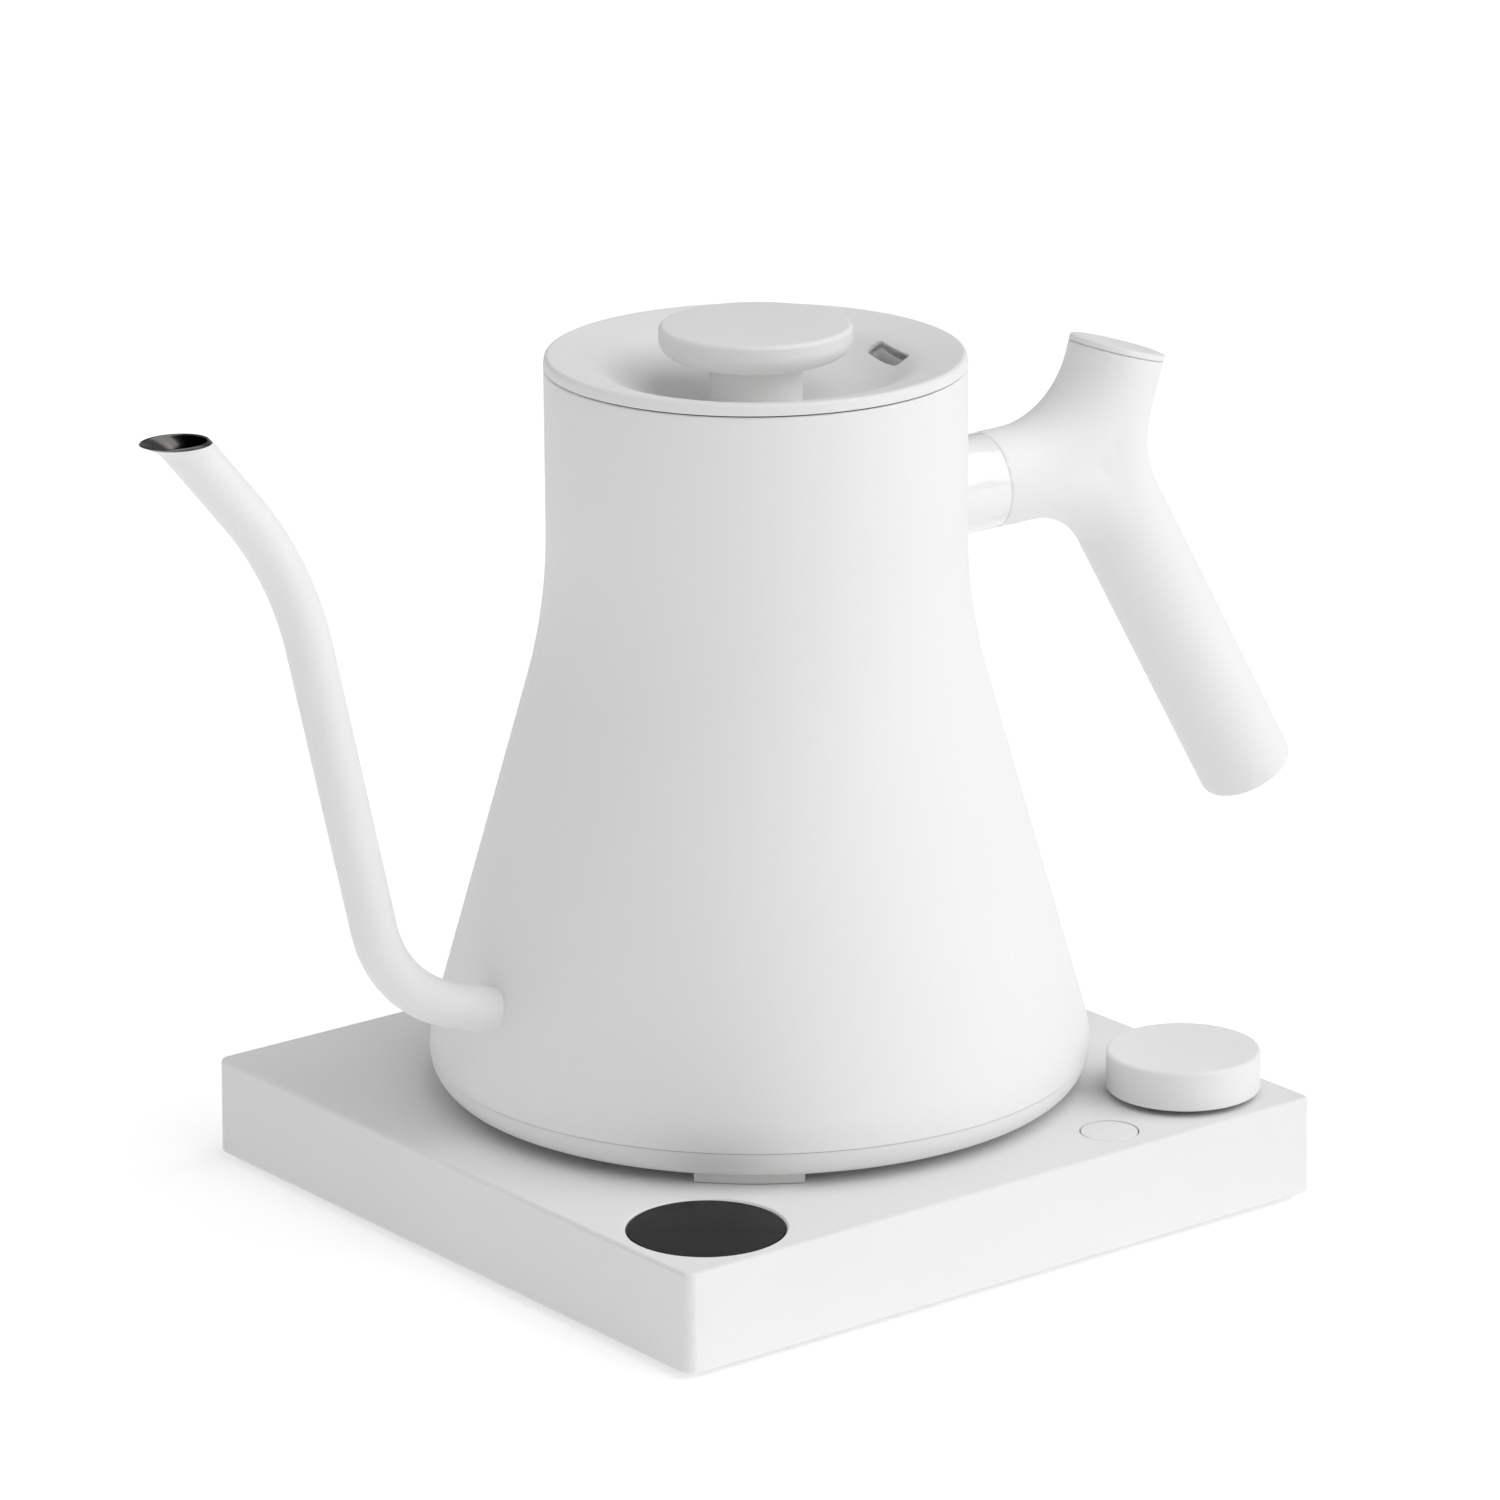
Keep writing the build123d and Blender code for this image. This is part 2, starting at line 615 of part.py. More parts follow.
def handle_screw():
    screw = side_rod(along_arm(-5), along_arm(SCREW_SEAT), 1.85)
    screw += side_rod(along_arm(SCREW_SEAT), along_arm(SCREW_SEAT + 3), 3.5)
    return screw - side_rod(along_arm(SCREW_SEAT + 1.4), along_arm(SCREW_SEAT + 3), 1.5)


def handle_cap():
    """Disc that closes the upper arm, faintly dished, with a plug in the screw's recess."""
    dish = 90.0
    end = ARM_LENGTH + ARM_CAP_THICK
    cap = side_rod(along_arm(ARM_LENGTH), along_arm(end), GRIP_RADIUS)
    cap = fillet(cap.edges().sort_by(Axis.Z)[-1], 0.4)
    cap -= Pos(*at_side(along_arm(end + dish - 0.4))) * Sphere(dish)
    return cap + side_rod(along_arm(ARM_LENGTH - 6), along_arm(ARM_LENGTH), 4.5)


# ---------------------------------------------------------------- lid
def dish_side(lift):
    """Upper face of the lid from the stem's seat to the rim, moved down by a thickness."""
    seat = (STEM_RADIUS + 2, DISH_FLOOR_Z + lift)
    edge = (DISH_RADIUS, DISH_EDGE_Z + lift)
    mid = (SLOT_RADII[0] - 2.0, 181.8 + lift)
    return ThreePointArc(seat, mid, edge)


def lid_cap():
    """Dished cover with a flat seat for the knob and one steam slot."""
    top = dish_side(0)
    under = dish_side(-LID_SHEET)
    shoulder = (LID_RADIUS - 0.4, LID_RIM_TOP)
    skirt = (LID_RADIUS, LID_RIM_BOTTOM)
    rim = FilletPolyline((DISH_RADIUS, DISH_EDGE_Z), shoulder, skirt, radius=1.0)
    seat = (LINER_RADIUS - 0.9, LID_RIM_BOTTOM)
    inner = Polyline(skirt, seat, (DISH_RADIUS, DISH_EDGE_Z - LID_SHEET))
    centre = Polyline(under @ 0, (0, DISH_FLOOR_Z - LID_SHEET), (0, DISH_FLOOR_Z), top @ 0)
    cap = turned(*centre.edges(), top, *rim.edges(), *inner.edges(), under)
    cap += steam_slot(SLOT_WALL) & disc(60, 178, 186.5) & lid_volume()
    cap -= steam_slot(0)
    return cap - disc(LID_SCREW_BORE, 150, 200)


def lid_volume():
    """Space under the lid's upper face."""
    top = dish_side(0)
    below = Polyline(top @ 1, (DISH_RADIUS, 170), (0, 170), (0, DISH_FLOOR_Z), top @ 0)
    return turned(top, *below.edges())


def steam_slot(grow):
    """Upright prism of the steam slot, grown by a wall."""
    width = SLOT_RADII[1] - SLOT_RADII[0] + 2 * grow
    length = SLOT_LENGTH + 2 * grow
    middle = (SLOT_RADII[0] + SLOT_RADII[1]) / 2
    outline = Rot(0, 0, SLOT_ANGLE) * Pos(middle, 0, 160) * RectangleRounded(width, length, 1.3 + grow)
    return extrude(outline, amount=40)


def lid_knob():
    """Flat-topped knob with a curved underside on a round stem."""
    side_low, side_high = KNOB_TOP - 2.2, KNOB_TOP - 1.2
    under = Spline(
        (STEM_RADIUS, KNOB_TOP - 8.0),
        (STEM_RADIUS + 3.2, KNOB_TOP - 7.3),
        (KNOB_RADIUS - 2.6, KNOB_TOP - 5.4),
        (KNOB_RADIUS, side_low),
        tangents=[(0.6, 0.1), (0.0, 1.0)],
    )
    side = Line((KNOB_RADIUS, side_low), (KNOB_RADIUS, side_high))
    corner = (KNOB_RADIUS - 0.35, KNOB_TOP - 0.35)
    flat_edge = (KNOB_RADIUS - 1.2, KNOB_TOP)
    edge = ThreePointArc(side @ 1, corner, flat_edge)
    foot = (STEM_RADIUS, DISH_FLOOR_Z)
    rest = Polyline(flat_edge, (0, KNOB_TOP), (0, DISH_FLOOR_Z), foot, under @ 0)
    return turned(under, side, edge, *rest.edges()) - disc(1.9, 170, KNOB_TOP - 6)


def lid_liner():
    """Steel cup under the cover that closes the neck, with steam holes in its floor."""
    top = LID_RIM_BOTTOM
    cup = disc(LINER_RADIUS, LINER_BOTTOM, top)
    cup = fillet(cup.edges().group_by(Axis.Z)[0], 2.0)
    cup -= disc(LINER_RADIUS - 0.8, LINER_BOTTOM + 0.8, top + 1)
    cup -= disc(LID_SCREW_BORE, 150, 200)
    for angle in range(0, 360, 45):
        cup -= disc(2.6, 150, 175, polar(30, angle))
    return cup


def lid_spacer():
    return tube(6, LID_SCREW_BORE, LINER_BOTTOM + 0.8, DISH_FLOOR_Z - LID_SHEET)


def lid_screw():
    return pan_screw((0, 0), LINER_BOTTOM - 2.0, LINER_BOTTOM, KNOB_TOP - 8, 4.2, 1.85)


def lid_gasket():
    """Silicone sealing ring with two soft lips."""
    inner = LINER_RADIUS + 0.3
    outer = NECK_RADIUS - WALL - 0.3
    lips = [(inner, 171.5), (outer, 171.9), (outer, 172.7), (outer - 0.5, 173.6)]
    lips += [(outer, 174.7), (outer, 175.5), (inner, 176.0)]
    return lathe(lips)


def base_pieces():
    relay_low = POWER_BOARD_Z + BOARD_THICK
    lens_top = BASE_TOP - 0.2
    pieces = {
        "base_housing": base_housing(),
        "base_bottom_plate": base_bottom_plate(),
        "base_screws": base_screws(),
        "board_screws": board_screws(),
        "control_board": control_board(),
        "power_board": power_board(),
        "relay": block(20, 12, relay_low, relay_low + 10, (-52, 46), corner=0.8),
        "transformer": block(17, 17, relay_low, relay_low + 9, (-31, 48), corner=1.0),
        "display_holder": display_holder(),
        "display_panel": block(24.6, 14.6, 17, 20.6, LENS_CENTRE, corner=0.5),
        "display_lens": disc(LENS_RADIUS, lens_top - LENS_THICK, lens_top, LENS_CENTRE),
        "encoder_body": encoder_body(),
        "encoder_plunger": encoder_plunger(),
        "dial_shaft": dial_shaft(),
        "dial_cap": dial_cap(),
        "button_cap": button_cap(),
        "button_switch": button_switch(),
        "cord_gland": cord_gland(),
        "connector_seat": connector_seat(),
        "connector_nose": connector_nose(),
        "nose_contacts": nose_contacts(),
    }
    feet = [(-FOOT_AT, -FOOT_AT), (FOOT_AT, -FOOT_AT), (FOOT_AT, FOOT_AT), (-FOOT_AT, FOOT_AT), (0, 0)]
    for number, at in enumerate(feet, 1):
        pieces[f"base_foot_{number}"] = base_foot(*at)
    return pieces


def kettle_pieces():
    pieces = {
        "kettle_connector": kettle_connector(),
        "connector_pin": connector_pin(),
        "connector_blade": connector_blade(),
        "kettle_body": kettle_body(),
        "spout": spout(),
        "kettle_floor": kettle_floor(),
        "kettle_base_ring": kettle_base_ring(),
        "bottom_cover": bottom_cover(),
        "floor_posts": floor_posts(),
        "bottom_screws": bottom_screws(),
        "heat_spreader": heat_spreader(),
        "heating_element": heating_element(),
        "element_terminals": element_terminals(),
        "thermal_cutouts": thermal_cutouts(),
        "temperature_probe": temperature_probe(),
        "handle_grip": handle_grip(),
        "handle_collar": handle_collar(),
        "handle_bracket": handle_bracket(),
        "handle_screw": handle_screw(),
        "handle_cap": handle_cap(),
        "lid_cap": lid_cap(),
        "lid_knob": lid_knob(),
        "lid_liner": lid_liner(),
        "lid_spacer": lid_spacer(),
        "lid_screw": lid_screw(),
        "lid_gasket": lid_gasket(),
    }
    for number, angle in enumerate(PAD_ANGLES, 1):
        pieces[f"kettle_pad_{number}"] = kettle_pad(angle)
    return pieces


def main():
    os.makedirs("parts", exist_ok=True)
    for name, shape in base_pieces().items():
        save(name, shape)
    for name, shape in kettle_pieces().items():
        save(name, shape, KETTLE_TURN)


main()
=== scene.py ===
import json
import math

import bmesh
import bpy
from bpy.props import FloatProperty, FloatVectorProperty, IntProperty, PointerProperty
from mathutils import Matrix, Vector


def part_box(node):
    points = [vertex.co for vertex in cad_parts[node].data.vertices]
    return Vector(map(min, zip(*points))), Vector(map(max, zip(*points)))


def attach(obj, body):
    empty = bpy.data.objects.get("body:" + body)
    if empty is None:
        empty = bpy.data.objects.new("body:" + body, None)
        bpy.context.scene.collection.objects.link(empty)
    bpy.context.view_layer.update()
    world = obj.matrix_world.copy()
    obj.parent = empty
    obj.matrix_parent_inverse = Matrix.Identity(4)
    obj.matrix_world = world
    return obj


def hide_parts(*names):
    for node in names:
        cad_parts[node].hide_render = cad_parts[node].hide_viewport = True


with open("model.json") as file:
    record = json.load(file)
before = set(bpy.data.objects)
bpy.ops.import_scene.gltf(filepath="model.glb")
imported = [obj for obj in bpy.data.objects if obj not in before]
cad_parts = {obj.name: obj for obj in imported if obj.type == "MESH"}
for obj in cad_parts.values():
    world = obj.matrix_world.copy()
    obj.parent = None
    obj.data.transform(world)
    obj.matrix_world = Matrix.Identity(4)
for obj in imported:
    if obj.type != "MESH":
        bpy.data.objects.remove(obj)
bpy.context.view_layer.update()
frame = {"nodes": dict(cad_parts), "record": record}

bl_info = {
    "name": "Gooseneck kettle",
    "version": (1, 0, 0),
    "blender": (4, 5, 0),
    "location": "3D View > Sidebar > Kettle",
    "description": "Builds the shown surfaces and finishes of a gooseneck kettle on its base",
    "category": "Object",
}

CAMERA_AT = (-0.92662, -1.18678, 0.56436)
CAMERA_TURN, CAMERA_RISE, CAMERA_ROLL = -37.916, 17.168, -0.361
CAMERA_LENS = 173.9
KEY_FROM = (0.331, -0.551, 0.766)
TOP_FROM = (0.15, 0.1, 1.0)
RIM_FROM = (-0.75, 0.75, 0.55)
BODY_LOW, BODY_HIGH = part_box("kettle_body")
HOUSING_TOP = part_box("base_housing")[1].z
LID_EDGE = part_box("lid_cap")[1].x
KNOB_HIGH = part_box("lid_knob")[1]
DIAL_LOW, DIAL_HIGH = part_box("dial_cap")
LENS_LOW, LENS_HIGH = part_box("display_lens")
BUTTON_LOW, BUTTON_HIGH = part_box("button_cap")
FOOT_LOW, FOOT_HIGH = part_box("base_foot_3")
GASKET_LOW, GASKET_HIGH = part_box("lid_gasket")
LINER_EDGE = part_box("lid_liner")[1].x


# ------------------------------------------------------------------ sizes and colours
def length(name, description, default):
    return FloatProperty(name=name, description=description, default=default, unit="LENGTH", precision=5)


def angle(name, description, degrees):
    return FloatProperty(name=name, description=description, default=math.radians(degrees), subtype="ANGLE")


def colour(name, description, default):
    return FloatVectorProperty(
        name=name, description=description, default=default, subtype="COLOR", size=3, min=0, max=1,
    )


class KettleBodySizes(bpy.types.PropertyGroup):
    turn: angle("Turn", "How far the kettle stands turned on its base", -6.0)
    wall: length("Wall", "Thickness of the steel", 0.001)
    neck_radius: length("Neck radius", "Radius of the straight neck", 0.0455)
    shoulder_top: length("Shoulder top", "Height where the straight neck begins", 0.1498)
    shoulder_radius: length("Shoulder radius", "Radius of the hollow curve under the neck", 0.126)
    hem_radius: length("Hem radius", "Radius of the curve at the foot of the cone", 0.0259)
    cone_slope: FloatProperty(
        name="Cone slope", description="Radius lost for each unit of height", default=0.282
    )
    steps: IntProperty(name="Steps", description="Flats around the body", default=288, min=48)


class KettleSpoutSizes(bpy.types.PropertyGroup):
    radius: length("Tube radius", "Outer radius of the tube", 0.0050)
    bore: length("Bore radius", "Inner radius of the tube", 0.0044)
    root: FloatVectorProperty(
        name="Root", description="Out and up, where the tube leaves the wall", default=(0.067, 0.052),
        size=2, unit="LENGTH",
    )
    elbow: FloatVectorProperty(
        name="Elbow", description="Out and up, corner of the lower bend", default=(0.0928, 0.060), size=2,
        unit="LENGTH",
    )
    bend: FloatVectorProperty(
        name="Bend", description="Out and up, corner of the upper bend", default=(0.1137, 0.1575), size=2,
        unit="LENGTH",
    )
    lean: angle("Tip lean", "Lean of the tip from upright", 38.7)
    elbow_radius: length("Elbow radius", "Centre-line radius of the lower bend", 0.0274)
    bend_radius: length("Bend radius", "Centre-line radius of the upper bend", 0.0776)
    lip_low: length("Flare start", "Height where the mouth begins to flare", 0.1853)
    lip_top: length("Mouth height", "Height of the level mouth", 0.1887)
    lip_far: length("Mouth far edge", "Furthest point of the mouth from the kettle's axis", 0.1475)
    lip_near: length("Mouth near edge", "Nearest point of the mouth to the kettle's axis", 0.1324)
    lip_half: length("Mouth half width", "Half the width of the mouth", 0.0063)
    paint_edge: length("Paint edge", "How far under the mouth the paint stops", 0.0006)


class KettleHandleSizes(bpy.types.PropertyGroup):
    radius: length("Limb radius", "Radius of the three round limbs", 0.0108)
    node: FloatVectorProperty(
        name="Node", description="Out and up, where the limbs meet", default=(0.0871, 0.1525), size=2,
        unit="LENGTH",
    )
    stub_tilt: angle("Stub tilt", "How much the stub rises outwards", 2.6)
    arm_lean: angle("Arm lean", "Lean of the upper arm from upright", 16.3)
    arm_length: length("Arm length", "Node to the seat of the cap", 0.0244)
    cap_thick: length("Cap thickness", "Disc on the end of the arm", 0.0016)
    seam: length("Seam", "Seam between collar and grip, from the kettle's axis", 0.059)
    voxel: length("Skin pitch", "Spacing of the grip's skin", 0.0005)
    soften: IntProperty(
        name="Soften", description="Rounds of smoothing where the limbs meet", default=26, min=0,
    )


class KettleLidSizes(bpy.types.PropertyGroup):
    dish_radius: length("Dish radius", "Outer radius of the dished part", 0.034)
    dish_edge: length("Dish edge", "Height at the dish's outer edge", 0.186)
    dish_floor: length("Dish floor", "Height of the flat seat of the knob", 0.1765)
    sheet: length("Sheet", "Thickness of the cover", 0.002)
    rim_top: length("Rim top", "Height of the rim's outer edge", 0.1885)
    rim_bottom: length("Rim bottom", "Height of the cover's lower edge", 0.1858)
    slot_near: length("Slot near side", "Steam slot's inner edge from the axis", 0.0297)
    slot_far: length("Slot far side", "Steam slot's outer edge from the axis", 0.0333)
    slot_length: length("Slot length", "Length of the steam slot", 0.0154)
    slot_angle: angle("Slot angle", "Place of the steam slot around the lid", -7.5)
    stem_radius: length("Stem radius", "Radius of the knob's stem", 0.010)


class KettleFinishes(bpy.types.PropertyGroup):
    painted: colour("Powder coat", "Body and spout", (0.845, 0.845, 0.842))
    moulded: colour("Moulded white", "Base, ring, lid, dial and grip", (0.835, 0.835, 0.832))
    collar: colour("Collar", "Glossy sleeve at the neck", (0.86, 0.86, 0.857))
    lens: colour("Lens", "Dark display window", (0.018, 0.018, 0.019))
    # The steel tone is partly the steel's own colour and partly painted shade: it is held darker than clean
    # stainless steel so the inside of the body and the lid's liner look dim.
    steel: colour("Steel", "Bare stainless steel", (0.36, 0.355, 0.345))
    rubber: colour("Rubber", "Feet of the base", (0.28, 0.28, 0.28))
    silicone: colour("Silicone", "Pads and gasket", (0.74, 0.74, 0.73))


class KettleStage(bpy.types.PropertyGroup):
    sky: FloatProperty(
        name="Room light", description="Strength of the even light of the room", default=0.33,
    )
    key: FloatProperty(
        name="Key light", description="Strength of the soft light from the right", default=1.78,
    )
    rim: FloatProperty(
        name="Rim light", description="Strength of the soft light from behind on the left", default=0.28,
    )
    top: FloatProperty(name="Top light", description="Strength of the soft light from above", default=0.05)
    glow: FloatProperty(name="Floor glow", description="Light that the floor itself gives", default=0.27)
    paper_white: FloatProperty(
        name="Paper white", description="Extra brightness of the floor as it is seen", default=0.1,
    )


# ------------------------------------------------------------------ node trees
class Wiring:
    """Short way to add nodes to a tree and join them."""

    def __init__(self, tree):
        self.tree = tree

    def add(self, kind, feeds=None, **settings):
        node = self.tree.nodes.new(kind)
        for name, value in settings.items():
            setattr(node, name, value)
        for name, value in (feeds or {}).items():
            self.feed(node.inputs[name], value)
        return node

    def feed(self, socket, value):
        if isinstance(value, bpy.types.NodeSocket):
            self.tree.links.new(value, socket)
        else:
            socket.default_value = value

    def maths(self, operation, first, second=0.0):
        return self.add("ShaderNodeMath", {0: first, 1: second}, operation=operation).outputs[0]


def new_group(name, kind, inputs, outputs):
    """Empty node group with named sockets: (wiring, input node, output node)."""
    tree = bpy.data.node_groups.new(name, kind)
    for label, socket, default in inputs:
        made = tree.interface.new_socket(label, in_out="INPUT", socket_type=socket)
        if default is not None:
            made.default_value = default
    for label, socket in outputs:
        tree.interface.new_socket(label, in_out="OUTPUT", socket_type=socket)
    wiring = Wiring(tree)
    return wiring, wiring.add("NodeGroupInput"), wiring.add("NodeGroupOutput")


def grain_group():
    """Pitted skin of a powder coat or a spark-eroded mould."""
    if "Fine grain" in bpy.data.node_groups:
        return bpy.data.node_groups["Fine grain"]
    wiring, given, out = new_group(
        "Fine grain",
        "ShaderNodeTree",
        [
            ("Vector", "NodeSocketVector", None), ("Pitch", "NodeSocketFloat", 0.0005),
            ("Pits", "NodeSocketFloat", 0.5),
        ],
        [("Height", "NodeSocketFloat"), ("Mask", "NodeSocketFloat")],
    )
    scale = wiring.maths("DIVIDE", 1.0, given.outputs["Pitch"])
    noise = wiring.add(
        "ShaderNodeTexNoise", {"Vector": given.outputs["Vector"], "Scale": scale, "Detail": 2.0},
    )
    pits = wiring.add(
        "ShaderNodeTexVoronoi", {"Vector": given.outputs["Vector"], "Scale": scale}, feature="SMOOTH_F1",
    )
    deep = wiring.maths("MULTIPLY", pits.outputs["Distance"], given.outputs["Pits"])
    height = wiring.maths("ADD", noise.outputs["Fac"], deep)
    mask = wiring.add("ShaderNodeMapRange", {"Value": height, "From Min": 0.35, "From Max": 0.95})
    wiring.feed(out.inputs["Height"], height)
    wiring.feed(out.inputs["Mask"], mask.outputs["Result"])
    return wiring.tree


def cloud_group():
    """Slow, faint unevenness that handling and moulding leave."""
    if "Slow clouding" in bpy.data.node_groups:
        return bpy.data.node_groups["Slow clouding"]
    wiring, given, out = new_group(
        "Slow clouding",
        "ShaderNodeTree",
        [("Vector", "NodeSocketVector", None), ("Size", "NodeSocketFloat", 0.03)],
        [("Mask", "NodeSocketFloat")],
    )
    scale = wiring.maths("DIVIDE", 1.0, given.outputs["Size"])
    noise = wiring.add(
        "ShaderNodeTexNoise", {"Vector": given.outputs["Vector"], "Scale": scale, "Detail": 3.0},
    )
    mask = wiring.add(
        "ShaderNodeMapRange", {"Value": noise.outputs["Fac"], "From Min": 0.3, "From Max": 0.7},
    )
    wiring.feed(out.inputs["Mask"], mask.outputs["Result"])
    return wiring.tree


def brushed_group():
    """Fine lines that run round the upright axis, as turning and brushing leave them."""
    if "Brushed lines" in bpy.data.node_groups:
        return bpy.data.node_groups["Brushed lines"]
    wiring, given, out = new_group(
        "Brushed lines",
        "ShaderNodeTree",
        [("Vector", "NodeSocketVector", None), ("Pitch", "NodeSocketFloat", 0.0002)],
        [("Height", "NodeSocketFloat"), ("Mask", "NodeSocketFloat")],
    )
    split = wiring.add("ShaderNodeSeparateXYZ", {"Vector": given.outputs["Vector"]})
    flat = wiring.add("ShaderNodeCombineXYZ", {"X": split.outputs["X"], "Y": split.outputs["Y"]})
    away = wiring.add("ShaderNodeVectorMath", {0: flat.outputs[0]}, operation="LENGTH")
    way = wiring.add("ShaderNodeVectorMath", {0: flat.outputs[0]}, operation="NORMALIZE")
    way_split = wiring.add("ShaderNodeSeparateXYZ", {"Vector": way.outputs[0]})
    reach = wiring.maths("ADD", away.outputs["Value"], split.outputs["Z"])
    lines = wiring.maths("DIVIDE", reach, given.outputs["Pitch"])
    place = wiring.add(
        "ShaderNodeCombineXYZ", {"X": way_split.outputs["X"], "Y": way_split.outputs["Y"], "Z": lines},
    )
    noise = wiring.add("ShaderNodeTexNoise", {"Vector": place.outputs[0], "Scale": 1.0, "Detail": 3.0})
    mask = wiring.add(
        "ShaderNodeMapRange", {"Value": noise.outputs["Fac"], "From Min": 0.35, "From Max": 0.65},
    )
    wiring.feed(out.inputs["Height"], noise.outputs["Fac"])
    wiring.feed(out.inputs["Mask"], mask.outputs["Result"])
    return wiring.tree


def use_group(wiring, tree, feeds):
    node = wiring.add("ShaderNodeGroup", node_tree=tree)
    for name, value in feeds.items():
        wiring.feed(node.inputs[name], value)
    return node


def start_material(name):
    material = bpy.data.materials.new(name)
    material.use_nodes = True
    material.node_tree.nodes.clear()
    wiring = Wiring(material.node_tree)
    shader = wiring.add("ShaderNodeBsdfPrincipled")
    out = wiring.add("ShaderNodeOutputMaterial")
    wiring.feed(out.inputs["Surface"], shader.outputs["BSDF"])
    coordinates = wiring.add("ShaderNodeTexCoord").outputs["Object"]
    return material, wiring, shader, coordinates


def shade(tone, factor):
    return (tone[0] * factor, tone[1] * factor, tone[2] * factor, 1.0)


def skin(
    name, tone, rough, pitch, depth, pits=0.5, clouds=0.03, drift=0.03, coat=0.0, specular=0.5,
    lines=False, metal=0.0,
):
    """One finish: a colour that drifts a little, a grain or brushed lines, and an uneven gloss."""
    if name in bpy.data.materials:
        return bpy.data.materials[name]
    material, wiring, shader, place = start_material(name)
    cloud = use_group(wiring, cloud_group(), {"Vector": place, "Size": clouds})
    if lines:
        grain = use_group(wiring, brushed_group(), {"Vector": place, "Pitch": pitch})
    else:
        grain = use_group(wiring, grain_group(), {"Vector": place, "Pitch": pitch, "Pits": pits})
    both = wiring.maths("MULTIPLY_ADD", grain.outputs["Mask"], 0.4)
    wiring.feed(both.node.inputs[2], wiring.maths("MULTIPLY", cloud.outputs["Mask"], 0.6))
    tint = wiring.add(
        "ShaderNodeMix", {0: both, 6: shade(tone, 1 - drift), 7: shade(tone, 1 + drift * 0.3)},
        data_type="RGBA",
    )
    gloss = wiring.add(
        "ShaderNodeMapRange", {"Value": both, "To Min": rough * 0.9, "To Max": min(rough * 1.1, 1.0)},
    )
    bump = wiring.add(
        "ShaderNodeBump", {"Height": grain.outputs["Height"], "Strength": 1.0, "Distance": depth},
    )
    wiring.feed(shader.inputs["Base Color"], tint.outputs[2])
    wiring.feed(shader.inputs["Roughness"], gloss.outputs["Result"])
    wiring.feed(shader.inputs["Normal"], bump.outputs["Normal"])
    shader.inputs["Metallic"].default_value = metal
    shader.inputs["Coat Weight"].default_value = coat
    shader.inputs["Coat Roughness"].default_value = 0.06
    shader.inputs["Specular IOR Level"].default_value = specular
    return material


def circuit_board(name):
    """Green solder mask with paler tracks and tinned pads."""
    if name in bpy.data.materials:
        return bpy.data.materials[name]
    material, wiring, shader, place = start_material(name)
    tracks = wiring.add(
        "ShaderNodeTexBrick",
        {
            "Vector": place, "Scale": 90.0, "Mortar Size": 0.04, "Color1": shade((0.03, 0.17, 0.08), 1),
            "Color2": shade((0.03, 0.19, 0.09), 1), "Mortar": shade((0.06, 0.30, 0.15), 1),
        },
    )
    pads = wiring.add("ShaderNodeTexVoronoi", {"Vector": place, "Scale": 260.0, "Randomness": 0.3})
    tinned = wiring.maths("LESS_THAN", pads.outputs["Distance"], 0.2)
    tint = wiring.add(
        "ShaderNodeMix", {0: tinned, 6: tracks.outputs["Color"], 7: shade((0.62, 0.62, 0.58), 1)},
        data_type="RGBA",
    )
    grain = use_group(wiring, grain_group(), {"Vector": place, "Pitch": 0.0004})
    bump = wiring.add(
        "ShaderNodeBump", {"Height": grain.outputs["Height"], "Strength": 1.0, "Distance": 0.00001},
    )
    wiring.feed(shader.inputs["Base Color"], tint.outputs[2])
    wiring.feed(shader.inputs["Metallic"], tinned)
    wiring.feed(shader.inputs["Normal"], bump.outputs["Normal"])
    shader.inputs["Roughness"].default_value = 0.35
    return material


